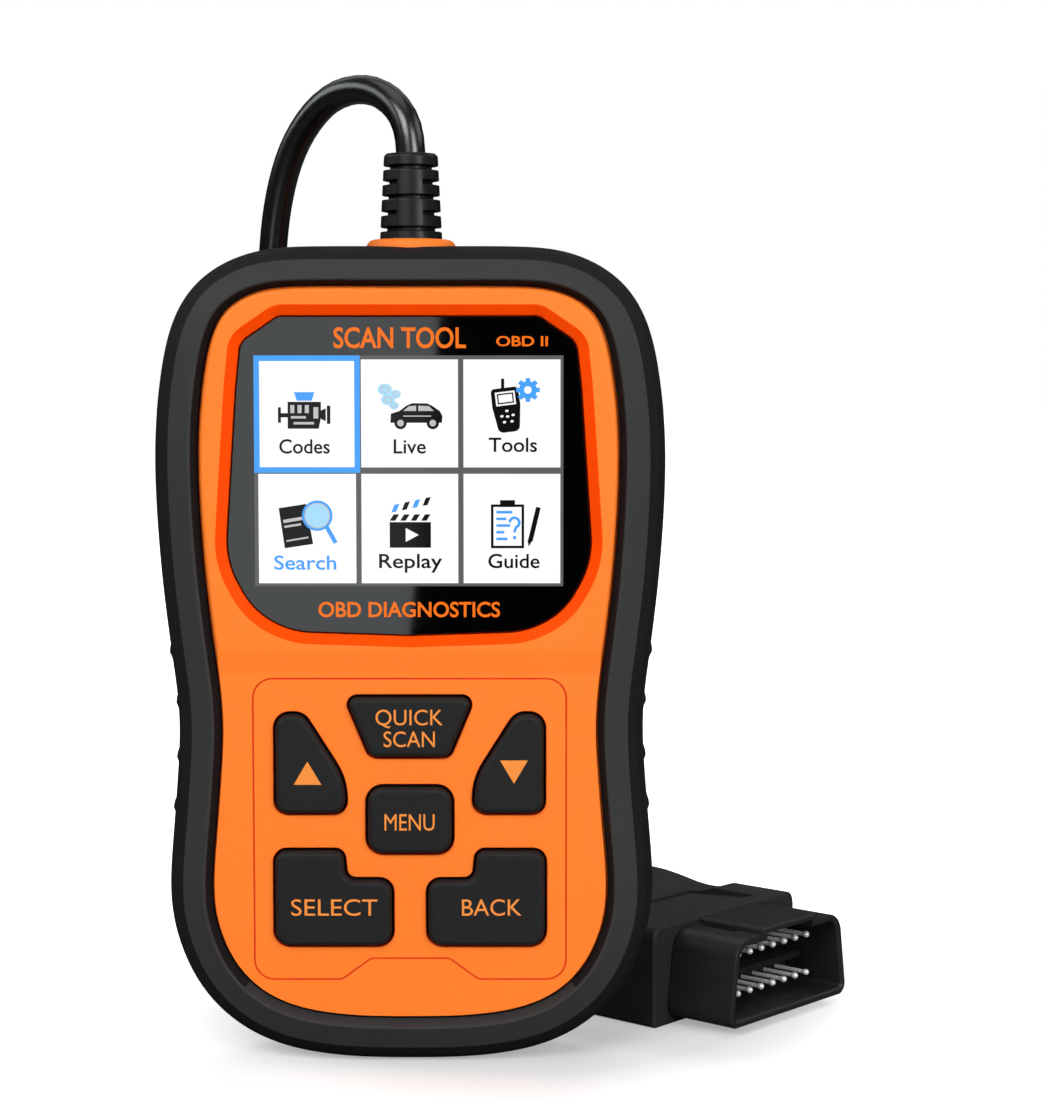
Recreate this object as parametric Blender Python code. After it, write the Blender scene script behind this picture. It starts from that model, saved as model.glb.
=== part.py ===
"""Hand-held OBD code reader with its captive diagnostic lead, as an assembly of separate pieces.

The reader stands upright on its lower edge, face towards -Y, +Z along its length, origin on the floor
under its middle. Its lead arches out of the top, drops behind the case, lies there in a round coil
held by a tie, and ends in a 16-pin diagnostic plug on the floor beside the case.
Drawings are in millimetres and are turned into metres when a mesh is made.
"""

import math

import bmesh
import bpy
from mathutils import Vector

MM = 0.001
GAP = 0.3  # clearance between pieces that touch or rest on one another

# Case: outline of the rubber bumper seen from the front, right half, from top centre to bottom centre
HALF_OUTLINE = (
    (0.0, 155.0), (20.0, 155.0), (29.6, 154.3), (39.2, 149.6), (44.7, 141.8), (47.3, 130.0),
    (48.4, 115.4), (47.5, 95.6), (45.6, 78.4), (44.1, 65.9), (45.1, 49.2), (46.4, 31.7),
    (44.3, 21.6), (40.0, 13.0), (32.5, 5.9), (22.5, 1.7), (9.0, 0.0), (0.0, 0.0),
)
OUTLINE_POINTS = 64
TOP_TRIM = 0.13  # insets are this much smaller along the top edge than along the sides

# Case: depths along Y, front negative
CASE_HALF_DEPTH = 15.0
DISPLAY_FACE_Y = -14.0
KEYPAD_FACE_Y = -13.2
CREASE_LOW_Z, CREASE_HIGH_Z = 75.2, 79.6
SHELL_INSET = 5.0
SHELL_WALL = 2.0
LAND_INSET = 9.3  # where the orange face stands up inside the bumper's lip
REAR_LAND_INSET = 9.5
RIM_FRONT_Y, RIM_REAR_Y = -11.3, 12.2
CAVITY_FRONT_Y, CAVITY_REAR_Y = -10.0, 12.8
KEYPAD_CAVITY_Y = -11.0
PARTING_Y = 0.0

# Display window, its bevelled bezel and the screen behind it
HALF_WINDOW = (
    (0.0, 141.6), (24.2, 141.6), (31.2, 136.8), (32.1, 128.0), (34.2, 96.0),
    (28.8, 86.4), (21.6, 82.9), (0.0, 82.2),
)
WINDOW_CORNERS = (0.0, 3.0, 3.4, 30.0, 17.0, 14.0, 16.0, 0.0)
WINDOW_FRONT_Y, WINDOW_THICK = -13.0, 1.5
BEZEL_WIDTH = 2.2
SCREEN_HALF_W, SCREEN_LOW_Z, SCREEN_HIGH_Z = 28.8, 91.4, 134.4
LCD_HALF_W, LCD_LOW_Z, LCD_HIGH_Z = 30.0, 86.5, 137.5

# Keys: outlines seen from the front, with the fillet of each corner
KEY_FRONT_Y = -14.9
KEY_TRAVEL = 1.0
KEY_FLANGE = 1.0
KEY_CLEARANCE = 0.35
PLUNGER_RADIUS = 2.5
UP_KEY = ((-25.4, 48.4), (-11.9, 48.4), (-11.9, 55.0), (-19.9, 67.6), (-25.4, 67.6))
UP_FILLETS = (2.5, 2.5, 13.0, 3.2, 2.9)
QUICK_KEY = ((-12.4, 70.8), (-7.5, 59.1), (7.5, 59.1), (12.4, 70.8))
QUICK_FILLETS = (1.7, 2.0, 2.0, 1.7)
MENU_KEY = ((-8.15, 40.8), (8.15, 40.8), (8.15, 53.8), (-8.15, 53.8))
MENU_FILLETS = (3.1, 3.1, 3.1, 3.1)
SELECT_KEY = ((-25.6, 23.2), (-3.2, 23.2), (-3.2, 36.1), (-11.9, 36.1), (-12.4, 41.7), (-25.6, 41.7))
SELECT_FILLETS = (3.0, 3.0, 2.6, 1.9, 1.9, 2.4)
PANEL_HALF = ((29.4, 74.0), (29.4, 16.8), (12.9, 16.8), (7.4, 20.8))
PANEL_FILLETS = (3.7, 3.7, 1.6, 1.6)
PANEL_DEPTH = 0.25

# Circuit board and what sits on it
BOARD_HALF_W, BOARD_LOW_Z, BOARD_HIGH_Z = 28.8, 18.0, 140.5
BOARD_FRONT_Y, BOARD_THICK = -5.0, 1.6
CASE_SCREWS = ((-33.6, 131.0), (33.6, 131.0), (-32.4, 34.0), (32.4, 34.0))
BOARD_SCREWS = ((-24.0, 78.0), (24.0, 78.0))

# Cable exit at the top of the case
SLEEVE_TOP_Z = 172.6
COLLAR_RADIUS, COLLAR_TOP_Z = 8.5, 156.4

# Lead
CABLE_RADIUS = 2.8
COIL_CENTRE = (-13.0, 100.0)
COIL_RADIUS = 29.0
COIL_HALF_WIDTH, COIL_LOW_Z, COIL_HIGH_Z = 5.8, 1.5, 12.1
TIE_THICK, TIE_WIDTH = 1.2, 6.0
LEAD_ROUTE = (
    (0.0, 0.0, 172.9), (0.0, 0.0, 174.6), (-0.4, 0.3, 178.0), (-3.2, 2.7, 182.6), (-8.6, 7.2, 185.8),
    (-16.6, 13.9, 184.6), (-23.6, 19.8, 176.9), (-27.5, 23.2, 165.6), (-29.2, 25.4, 151.0),
    (-30.2, 27.6, 122.0),
    (-31.0, 30.0, 88.0), (-32.0, 32.6, 52.0), (-33.4, 36.4, 25.0), (-35.8, 44.0, 9.6),
    (-39.0, 56.0, 4.6), (-42.6, 69.0, 4.3), (-44.4, 79.4, 4.3),
)
TAIL_ROUTE = (
    (16.9, 81.4, 10.0), (17.0, 77.6, 10.1), (17.7, 73.6, 10.2), (19.57, 69.68, 10.2), (21.82, 67.70, 10.2),
)
INNER_ROUTE = ((0.0, 0.0, 144.7), (0.6, 0.4, 138.0), (0.9, 1.0, 130.0), (0.5, 0.6, 124.0), (0.0, 0.1, 118.3))

# Diagnostic plug, drawn with its nose along +X and its flange's front face at X = 0
PLUG_PLACE = (63.6, 31.0, 0.0)
PLUG_YAW = math.radians(-41.3)
PLUG_HALF_WIDTH, PLUG_HEIGHT = 24.2, 20.5
PLUG_WAIST_HEIGHT, PLUG_GRIP_HEIGHT = 19.1, 21.2  # the top dips behind the flange block and swells again
PLUG_BLOCK_LENGTH, PLUG_LENGTH = 15.0, 41.0
PLUG_SLEEVE_LENGTH = 14.0
SHROUD_LENGTH, SHROUD_LOW_Z, SHROUD_HIGH_Z = 16.0, 1.7, 19.2
SHROUD_HALF_BOTTOM, SHROUD_HALF_TOP, SHROUD_WALL = 20.5, 18.0, 1.5
PLATEAU_HALF_WIDTH, PLATEAU_HEIGHT = 9.4, 1.2
PIN_PITCH, PIN_ROWS_Z, PIN_TIP_X = 4.0, (6.3, 14.3), 9.4
PLUG_AXIS_Z = 10.2


def finish(name, colour, roughness, metallic=0.0):
    """A Principled material."""
    material = bpy.data.materials.new(name)
    material.use_nodes = True
    shader = material.node_tree.nodes["Principled BSDF"]
    shader.inputs["Base Color"].default_value = (*colour, 1.0)
    shader.inputs["Roughness"].default_value = roughness
    shader.inputs["Metallic"].default_value = metallic
    return material


def build_object(name, mesh_data, material):
    """An object from a bmesh in millimetres, its faces outward and its round faces smooth."""
    bmesh.ops.recalc_face_normals(mesh_data, faces=mesh_data.faces)
    if mesh_data.calc_volume(signed=True) < 0.0:
        bmesh.ops.reverse_faces(mesh_data, faces=mesh_data.faces)
    bmesh.ops.scale(mesh_data, vec=Vector((MM, MM, MM)), verts=mesh_data.verts)
    mesh = bpy.data.meshes.new(name)
    mesh_data.to_mesh(mesh)
    mesh_data.free()
    mesh.materials.append(material)
    mesh.shade_smooth()
    mesh.set_sharp_from_angle(angle=math.radians(35.0))
    obj = bpy.data.objects.new(name, mesh)
    bpy.context.scene.collection.objects.link(obj)
    return obj


def loft(name, rings, material, closed=False):
    """A solid through rings of equally many points. It is capped at both ends, or closed on itself."""
    mesh_data = bmesh.new()
    rows = [[mesh_data.verts.new(point) for point in ring] for ring in rings]
    count = len(rings[0])
    pairs = list(zip(rows, rows[1:])) + ([(rows[-1], rows[0])] if closed else [])
    for first, second in pairs:
        for i in range(count):
            j = (i + 1) % count
            mesh_data.faces.new((first[i], first[j], second[j], second[i]))
    if not closed:
        mesh_data.faces.new(rows[0])
        mesh_data.faces.new(rows[-1])
    return build_object(name, mesh_data, material)


def at_depth(points, y):
    return [(x, y, z) for x, z in points]


def prism(name, points, y_front, y_back, material):
    """An outline in X and Z, extruded along Y."""
    return loft(name, [at_depth(points, y_front), at_depth(points, y_back)], material)


def block(name, low, high, material):
    """A box between two corners."""
    points = ((low[0], low[2]), (high[0], low[2]), (high[0], high[2]), (low[0], high[2]))
    return prism(name, points, low[1], high[1], material)


def circle(radius, count, centre=(0.0, 0.0)):
    turn = 2.0 * math.pi / count
    return [
        (centre[0] + radius * math.cos(turn * i), centre[1] + radius * math.sin(turn * i))
        for i in range(count)
    ]


def round_along_y(name, centre, profile, material, count=16):
    """A turned piece on an axis along Y; the profile lists radius and depth."""
    return loft(name, [at_depth(circle(radius, count, centre), y) for radius, y in profile], material)


def round_along_z(name, centre, profile, material, count=24):
    """A turned piece on an upright axis; the profile lists radius and height."""
    rings = [[(x, y, z) for x, y in circle(radius, count, centre)] for radius, z in profile]
    return loft(name, rings, material)


def helper(obj):
    """Marks a shape that only serves a Boolean."""
    obj.hide_render = True
    obj.display_type = "WIRE"
    return obj


def combine(obj, other, operation):
    helper(other)
    modifier = obj.modifiers.new(operation.title() + "_" + other.name, "BOOLEAN")
    modifier.operation = operation
    modifier.solver = "EXACT"
    modifier.object = other


def cut(obj, *cutters):
    for cutter in cutters:
        combine(obj, cutter, "DIFFERENCE")


def fuse(obj, *others):
    for other in others:
        combine(obj, other, "UNION")


def smooth_curve(points, steps):
    """Points on a Catmull-Rom curve through the given ones."""
    knots = [Vector(p) for p in points]
    knots = [2 * knots[0] - knots[1]] + knots + [2 * knots[-1] - knots[-2]]
    curve = []
    for a, b, c, d in zip(knots, knots[1:], knots[2:], knots[3:]):
        for step in range(steps):
            t = step / steps
            curve.append(
                0.5 * (2 * b + (c - a) * t + (2 * a - 5 * b + 4 * c - d) * t**2 + (3 * b - a - 3 * c + d) * t**3)
            )
    return curve + [knots[-2]]


def evenly(points, count):
    """The polyline again, with count points an equal way apart."""
    lengths = [0.0]
    for a, b in zip(points, points[1:]):
        lengths.append(lengths[-1] + (b - a).length)
    spaced = []
    segment = 0
    for i in range(count):
        target = lengths[-1] * i / (count - 1)
        while segment < len(points) - 2 and lengths[segment + 1] < target:
            segment += 1
        share = (target - lengths[segment]) / (lengths[segment + 1] - lengths[segment])
        spaced.append(points[segment].lerp(points[segment + 1], min(max(share, 0.0), 1.0)))
    return spaced


def case_outline(inset=0.0):
    """The case's outline at an inset from the bumper's outside, counter-clockwise from the top centre."""
    half = evenly(smooth_curve(HALF_OUTLINE, 12), OUTLINE_POINTS // 2 + 1)
    half[0].x = half[-1].x = 0.0
    flat = [Vector((p.x, 0.0)) if p.y < 0.02 else p for p in half]
    points = [Vector((-p.x, p.y)) for p in flat] + flat[-2:0:-1]
    return offset_inward(points, inset, TOP_TRIM)


def offset_inward(points, distance, top_trim=0.0):
    """A smooth counter-clockwise outline moved inward, a little less along its top if top_trim says so."""
    moved = []
    for i, point in enumerate(points):
        along = points[(i + 1) % len(points)] - points[i - 1]
        outward = Vector((along.y, -along.x)).normalized()
        share = 1.0 - top_trim * max(outward.y, 0.0)
        moved.append(point - outward * distance * share)
    return moved


def fillet_outline(corners, fillets, steps):
    """A polygon with each corner rounded by an arc, which gets steps segments."""
    points = []
    for i, corner in enumerate(corners):
        here = Vector(corner)
        before = (Vector(corners[i - 1]) - here).normalized()
        after = (Vector(corners[(i + 1) % len(corners)]) - here).normalized()
        if fillets[i] == 0.0:
            points.append(here)
            continue
        half_angle = before.angle(after) / 2.0
        centre = here + (before + after).normalized() * fillets[i] / math.sin(half_angle)
        start = here + before * fillets[i] / math.tan(half_angle) - centre
        end = here + after * fillets[i] / math.tan(half_angle) - centre
        points += [centre + start.slerp(end, step / steps) * fillets[i] for step in range(steps + 1)]
    return points


def mirrored(half):
    """A whole outline, counter-clockwise, from its right half given from the top down."""
    left = [(-x, z) for x, z in half]
    right = [p for p in reversed(half) if p[0] > 0.0]
    return left + right


def flipped(points):
    """An outline mirrored left to right, still counter-clockwise."""
    return [(-x, z) for x, z in reversed(points)]


def window_outline(outset=0.0):
    corners = mirrored(HALF_WINDOW)
    mirror = zip(reversed(WINDOW_CORNERS), reversed(HALF_WINDOW))
    radii = list(WINDOW_CORNERS) + [radius for radius, point in mirror if point[0] > 0.0]
    return offset_inward(fillet_outline(corners, radii, 4), -outset)


def cable_points(route, radius):
    """Points along a route's smooth curve: close together in its bends, further apart on the straights."""
    curve = smooth_curve(route, 24)
    kept = [curve[0]]
    heading = curve[1] - curve[0]
    for here, after in zip(curve[1:-1], curve[2:]):
        reach = (here - kept[-1]).length
        turned = heading.angle(after - here)
        if reach > 6.0 * radius or (turned > math.radians(14.0) and reach > 0.8 * radius):
            kept.append(here)
            heading = after - here
    if (kept[-1] - curve[-1]).length < radius and len(kept) > 2:
        kept.pop()
    return kept + [curve[-1]]


def tube(name, route, radius, material, resolution=2):
    """A free cable: a bevelled poly curve with closed ends through the smooth curve of its route."""
    curve = bpy.data.curves.new(name, "CURVE")
    curve.dimensions = "3D"
    curve.bevel_depth = radius * MM
    curve.bevel_resolution = resolution
    curve.use_fill_caps = True
    spline = curve.splines.new("POLY")
    points = cable_points(route, radius)
    spline.points.add(len(points) - 1)
    for target, point in zip(spline.points, points):
        target.co = (*(point * MM), 1.0)
    curve.materials.append(material)
    obj = bpy.data.objects.new(name, curve)
    bpy.context.scene.collection.objects.link(obj)
    return obj


def clear_scene():
    for obj in list(bpy.data.objects):
        bpy.data.objects.remove(obj, do_unlink=True)


def make_materials():
    return {
        "orange": finish("orange_abs", (0.95, 0.22, 0.03), 0.42),
        "rubber": finish("black_rubber", (0.03, 0.03, 0.032), 0.7),
        "key": finish("key_silicone", (0.025, 0.026, 0.028), 0.6),
        "window": finish("window_acrylic", (0.01, 0.012, 0.014), 0.08),
        "screen": finish("screen_glass", (0.75, 0.78, 0.8), 0.2),
        "frame": finish("pressed_steel", (0.6, 0.6, 0.6), 0.35, 1.0),
        "film": finish("amber_film", (0.55, 0.3, 0.06), 0.4),
        "board": finish("green_laminate", (0.02, 0.16, 0.07), 0.5),
        "chip": finish("chip_resin", (0.03, 0.03, 0.03), 0.55),
        "nylon": finish("white_nylon", (0.8, 0.78, 0.72), 0.5),
        "steel": finish("zinc_steel", (0.65, 0.66, 0.68), 0.3, 1.0),
        "pvc": finish("black_pvc", (0.022, 0.022, 0.024), 0.5),
        "plug": finish("plug_nylon", (0.02, 0.02, 0.022), 0.5),
        "pin": finish("tinned_brass", (0.78, 0.76, 0.7), 0.25, 1.0),
        "label": finish("label_film", (0.62, 0.63, 0.64), 0.45),
    }


def make_shells(materials):
    """The two halves of the case, with a wall all round, screw bosses and a notch for the cable exit."""
    parting_front, parting_rear = PARTING_Y - GAP / 2, PARTING_Y + GAP / 2
    front_profile = (
        (SHELL_INSET, parting_front), (SHELL_INSET, RIM_FRONT_Y + 0.5), (SHELL_INSET + 0.5, RIM_FRONT_Y),
        (LAND_INSET, RIM_FRONT_Y), (LAND_INSET, DISPLAY_FACE_Y + 0.6), (LAND_INSET + 0.7, DISPLAY_FACE_Y),
    )
    rings = [at_depth(case_outline(inset), y) for inset, y in front_profile]
    front = loft("front_shell", rings, materials["orange"])
    rear_profile = (
        (SHELL_INSET, parting_rear), (SHELL_INSET, RIM_REAR_Y - 0.5), (SHELL_INSET + 0.5, RIM_REAR_Y),
        (REAR_LAND_INSET, RIM_REAR_Y), (REAR_LAND_INSET, CASE_HALF_DEPTH - 0.7),
        (REAR_LAND_INSET + 0.8, CASE_HALF_DEPTH),
    )
    rings = [at_depth(case_outline(inset), y) for inset, y in rear_profile]
    rear = loft("rear_shell", rings, materials["orange"])

    wall = SHELL_INSET + SHELL_WALL
    step = LAND_INSET + SHELL_WALL
    profile = (
        (wall, parting_front + 1.0), (wall, RIM_FRONT_Y + SHELL_WALL), (step, RIM_FRONT_Y + SHELL_WALL),
        (step, CAVITY_FRONT_Y),
    )
    rings = [at_depth(case_outline(inset), y) for inset, y in profile]
    front_cavity = loft("cut_front_cavity", rings, materials["orange"])
    profile = (
        (wall, parting_rear - 1.0), (wall, RIM_REAR_Y - SHELL_WALL), (step, RIM_REAR_Y - SHELL_WALL),
        (step, CAVITY_REAR_Y),
    )
    rings = [at_depth(case_outline(inset), y) for inset, y in profile]
    rear_cavity = loft("cut_rear_cavity", rings, materials["orange"])
    cut(front, front_cavity)
    cut(rear, rear_cavity)
    shape_front(front, materials)
    shape_rear(rear, materials)
    for shell in (front, rear):
        neck = ((5.7, 145.0), (5.7, 153.0))
        cut(shell, round_along_z(f"cut_exit_{shell.name}", (0, 0), neck, materials["orange"], 16))


def shape_front(front, materials):
    """Window pocket with its bevel, screen opening, lower keypad face, key openings and bosses."""
    orange = materials["orange"]
    pocket_floor = WINDOW_FRONT_Y + WINDOW_THICK + GAP
    bevel = (
        (GAP, pocket_floor), (GAP, WINDOW_FRONT_Y + 0.1), (BEZEL_WIDTH, DISPLAY_FACE_Y),
        (BEZEL_WIDTH + 0.2, DISPLAY_FACE_Y - 0.1),
    )
    cut(front, loft("cut_window", [at_depth(window_outline(out), y) for out, y in bevel], orange))
    margin = 0.8
    low = (-SCREEN_HALF_W - margin, pocket_floor - 1.0, SCREEN_LOW_Z - margin)
    high = (SCREEN_HALF_W + margin, CAVITY_FRONT_Y + 1.0, SCREEN_HIGH_Z + margin)
    cut(front, block("cut_screen", low, high, orange))

    wedge = ((KEYPAD_FACE_Y, -5.0), (KEYPAD_FACE_Y, CREASE_LOW_Z), (DISPLAY_FACE_Y - 0.01, CREASE_HIGH_Z),
             (DISPLAY_FACE_Y - 2.0, CREASE_HIGH_Z), (DISPLAY_FACE_Y - 2.0, -5.0))
    rings = [[(x, y, z) for y, z in wedge] for x in (-60.0, 60.0)]
    cut(front, loft("cut_keypad_face", rings, orange))
    low, high = (-29.0, KEYPAD_CAVITY_Y, 17.5), (29.0, CAVITY_FRONT_Y + 1.0, 76.0)
    cut(front, block("cut_keypad_back", low, high, orange))

    corners = [(-x, z) for x, z in PANEL_HALF] + list(reversed(PANEL_HALF))
    fillets = PANEL_FILLETS + tuple(reversed(PANEL_FILLETS))
    panel = fillet_outline(corners, fillets, 3)
    cut(front, prism("cut_panel", panel, KEYPAD_FACE_Y - 1.0, KEYPAD_FACE_Y + PANEL_DEPTH, orange))
    for name, outline in key_outlines().items():
        opening = offset_inward(outline, -KEY_CLEARANCE)
        cut(front, prism(f"cut_{name}", opening, KEYPAD_FACE_Y - 1.0, KEYPAD_CAVITY_Y + 1.0, orange))
    end = PARTING_Y - GAP / 2
    for i, centre in enumerate(CASE_SCREWS, 1):
        post = ((3.0, CAVITY_FRONT_Y - 0.6), (3.0, end))
        bore = ((1.4, CAVITY_FRONT_Y + 3.0), (1.4, end + 1.0))
        fuse(front, round_along_y(f"boss_front_{i}", centre, post, orange, 12))
        cut(front, round_along_y(f"pilot_{i}", centre, bore, orange, 12))


def shape_rear(rear, materials):
    """Screw bosses with counterbores, and the label's recess."""
    orange = materials["orange"]
    start = PARTING_Y + GAP / 2
    for i, centre in enumerate(CASE_SCREWS, 1):
        post = ((3.9, start), (3.9, CAVITY_REAR_Y + 0.6))
        fuse(rear, round_along_y(f"boss_rear_{i}", centre, post, orange, 16))
        profile = ((1.4, start - 1.0), (1.4, 10.5), (2.6, 10.5), (2.6, CASE_HALF_DEPTH + 1.0))
        cut(rear, round_along_y(f"bore_rear_{i}", centre, profile, orange, 16))
    low, high = (-24.3, CASE_HALF_DEPTH - 0.8, 49.7), (24.3, CASE_HALF_DEPTH + 1.0, 102.3)
    cut(rear, block("cut_label", low, high, orange))
    block("rear_label", (-24.0, 14.5, 50.0), (24.0, 14.8, 102.0), materials["label"])


def make_bumper(materials):
    """A rubber sleeve that grips both shells' edges, with a bevelled front rim and a hole for the collar."""
    inner = SHELL_INSET - GAP
    profile = (
        (0.0, -5.0), (0.0, 5.0), (0.5, 8.6), (1.7, 11.2), (3.8, 12.9), (REAR_LAND_INSET - GAP, 13.9),
        (REAR_LAND_INSET - GAP, RIM_REAR_Y + GAP), (inner, RIM_REAR_Y + GAP), (inner, RIM_FRONT_Y - GAP),
        (LAND_INSET - 0.4, RIM_FRONT_Y - GAP), (LAND_INSET - 0.4, -12.3), (7.7, -CASE_HALF_DEPTH),
        (3.3, -12.6), (1.6, -10.9), (0.45, -8.3),
    )
    outlines = [case_outline(inset) for inset, _ in profile]
    rings = [
        [(points[i].x, y, points[i].y) for points, (_, y) in zip(outlines, profile)]
        for i in range(OUTLINE_POINTS)
    ]
    bumper = loft("bumper", rings, materials["rubber"], closed=True)
    hole = ((COLLAR_RADIUS + GAP, 144.0), (COLLAR_RADIUS + GAP, 160.0))
    cut(bumper, round_along_z("cut_collar", (0, 0), hole, materials["rubber"]))


def key_outlines():
    up = fillet_outline(UP_KEY, UP_FILLETS, 3)
    select = fillet_outline(SELECT_KEY, SELECT_FILLETS, 3)
    return {
        "key_up": up,
        "key_down": [Vector(p) for p in flipped(up)],
        "key_quick": fillet_outline(QUICK_KEY, QUICK_FILLETS, 3),
        "key_menu": fillet_outline(MENU_KEY, MENU_FILLETS, 3),
        "key_select": select,
        "key_back": [Vector(p) for p in flipped(select)],
    }


def key_centre(outline):
    """The middle of a key's outline, where its plunger stands."""
    xs, zs = [p[0] for p in outline], [p[1] for p in outline]
    return ((min(xs) + max(xs)) / 2.0, (min(zs) + max(zs)) / 2.0 - 1.0)


def make_keypad(materials):
    """Six keys that slide along +Y, the silicone mat they stand in and the sheet of snap domes."""
    flange_front, flange_back = KEYPAD_CAVITY_Y + GAP, KEYPAD_CAVITY_Y + GAP + KEY_FLANGE
    plunger_end = -7.5
    mat_front, mat_back = flange_back + KEY_TRAVEL + GAP, -7.6
    board_side = BOARD_FRONT_Y - GAP
    rim = ((-28.6, 19.5), (28.6, 19.5), (28.6, 74.4), (-28.6, 74.4))
    mat = prism("keypad_mat", fillet_outline(rim, (3.0,) * 4, 3), mat_front, board_side, materials["key"])
    cut(mat, block("cut_mat", (-26.8, mat_back, 21.3), (26.8, board_side + 1.0, 72.6), materials["key"]))
    domes = block("dome_sheet", (-26.0, board_side - 0.3, 22.2), (26.0, board_side, 71.8), materials["film"])
    for name, outline in key_outlines().items():
        profile = (
            (-KEY_FLANGE, flange_back), (-KEY_FLANGE, flange_front), (0.0, flange_front), (0.0, KEY_FRONT_Y + 0.9),
            (0.3, KEY_FRONT_Y + 0.3), (1.0, KEY_FRONT_Y),
        )
        rings = [at_depth(offset_inward(outline, inset), y) for inset, y in profile]
        key = loft(name, rings, materials["key"])
        centre = key_centre(outline)
        stem = ((PLUNGER_RADIUS, flange_back - 0.5), (PLUNGER_RADIUS, plunger_end))
        fuse(key, round_along_y(f"stem_{name}", centre, stem, materials["key"], 12))
        well = ((PLUNGER_RADIUS + 0.5, mat_front - 1.0), (PLUNGER_RADIUS + 0.5, mat_back + 1.0))
        cut(mat, round_along_y(f"well_{name}", centre, well, materials["key"], 12))
        bump = ((2.2, board_side - 0.15), (2.2, board_side - 0.5), (1.2, plunger_end + KEY_TRAVEL + GAP))
        fuse(domes, round_along_y(f"bump_{name}", centre, bump, materials["film"], 12))


def make_display(materials):
    """Window, screen panel, its pressed backlight tray and the ribbon to the board."""
    window_back = WINDOW_FRONT_Y + WINDOW_THICK
    prism("display_window", window_outline(), WINDOW_FRONT_Y, window_back, materials["window"])
    panel_front = CAVITY_FRONT_Y + GAP
    low, high = (-LCD_HALF_W, panel_front, LCD_LOW_Z), (LCD_HALF_W, panel_front + 1.5, LCD_HIGH_Z)
    block("lcd_panel", low, high, materials["screen"])
    tray_front = panel_front + 1.5 + GAP
    low, high = (-LCD_HALF_W, tray_front, LCD_LOW_Z), (LCD_HALF_W, BOARD_FRONT_Y - 0.5, LCD_HIGH_Z)
    block("lcd_backlight", low, high, materials["frame"])
    bend = LCD_LOW_Z - 2.0
    ribbon = (
        (-8.9, LCD_LOW_Z - GAP), (-8.9, bend), (-5.3, bend - 0.6), (-5.3, 79.5), (-5.6, 79.5), (-5.6, bend - 1.0),
        (-9.2, bend - 0.4), (-9.2, LCD_LOW_Z - GAP),
    )
    loft("lcd_flex", [[(x, y, z) for y, z in ribbon] for x in (-9.0, 9.0)], materials["film"])


def make_electronics(materials):
    """The main board and the parts on its rear face."""
    low = (-BOARD_HALF_W, BOARD_FRONT_Y, BOARD_LOW_Z)
    board = block("main_board", low, (BOARD_HALF_W, BOARD_FRONT_Y + BOARD_THICK, BOARD_HIGH_Z), materials["board"])
    seat = BOARD_FRONT_Y + BOARD_THICK + GAP
    chips = {
        "processor": (-7.0, 7.0, 84.0, 98.0, 1.6), "memory_chip": (12.0, 20.0, 86.0, 92.0, 1.4),
        "can_transceiver": (-20.0, -14.0, 101.0, 105.0, 1.3), "voltage_regulator": (14.0, 20.5, 103.0, 110.0, 2.2),
    }
    for name, (left, right, low_z, high_z, thick) in chips.items():
        block(name, (left, seat, low_z), (right, seat + thick, high_z), materials["chip"])
    block("clock_crystal", (-19.0, seat, 86.0), (-12.0, seat + 2.4, 90.0), materials["steel"])
    round_along_y("buzzer", (-18.0, 60.0), ((6.0, seat), (6.0, 2.6), (5.4, 3.2)), materials["chip"])
    round_along_y("filter_capacitor", (18.0, 62.0), ((4.0, seat), (4.0, 5.6), (3.6, 6.0)), materials["steel"])
    block("cable_header", (-7.0, seat, 104.0), (7.0, 3.4, 112.0), materials["nylon"])
    block("header_plug", (-6.4, -2.7, 112.3), (6.4, 2.9, 118.0), materials["nylon"])
    tube("inner_lead", INNER_ROUTE, 2.2, materials["pvc"])
    for i, centre in enumerate(BOARD_SCREWS, 1):
        bore = ((1.3, BOARD_FRONT_Y - 1.0), (1.3, seat + 1.0))
        cut(board, round_along_y(f"bore_board_{i}", centre, bore, materials["board"], 12))
        profile = ((1.0, BOARD_FRONT_Y + 0.2), (1.0, seat), (2.2, seat), (2.2, seat + 1.2), (1.7, seat + 1.6))
        round_along_y(f"board_screw_{i}", centre, profile, materials["steel"], 12)
    for i, centre in enumerate(CASE_SCREWS, 1):
        profile = ((1.1, -6.0), (1.1, 10.8), (2.2, 10.8), (2.2, 12.3), (1.7, 12.8))
        round_along_y(f"case_screw_{i}", centre, profile, materials["steel"], 12)


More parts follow.
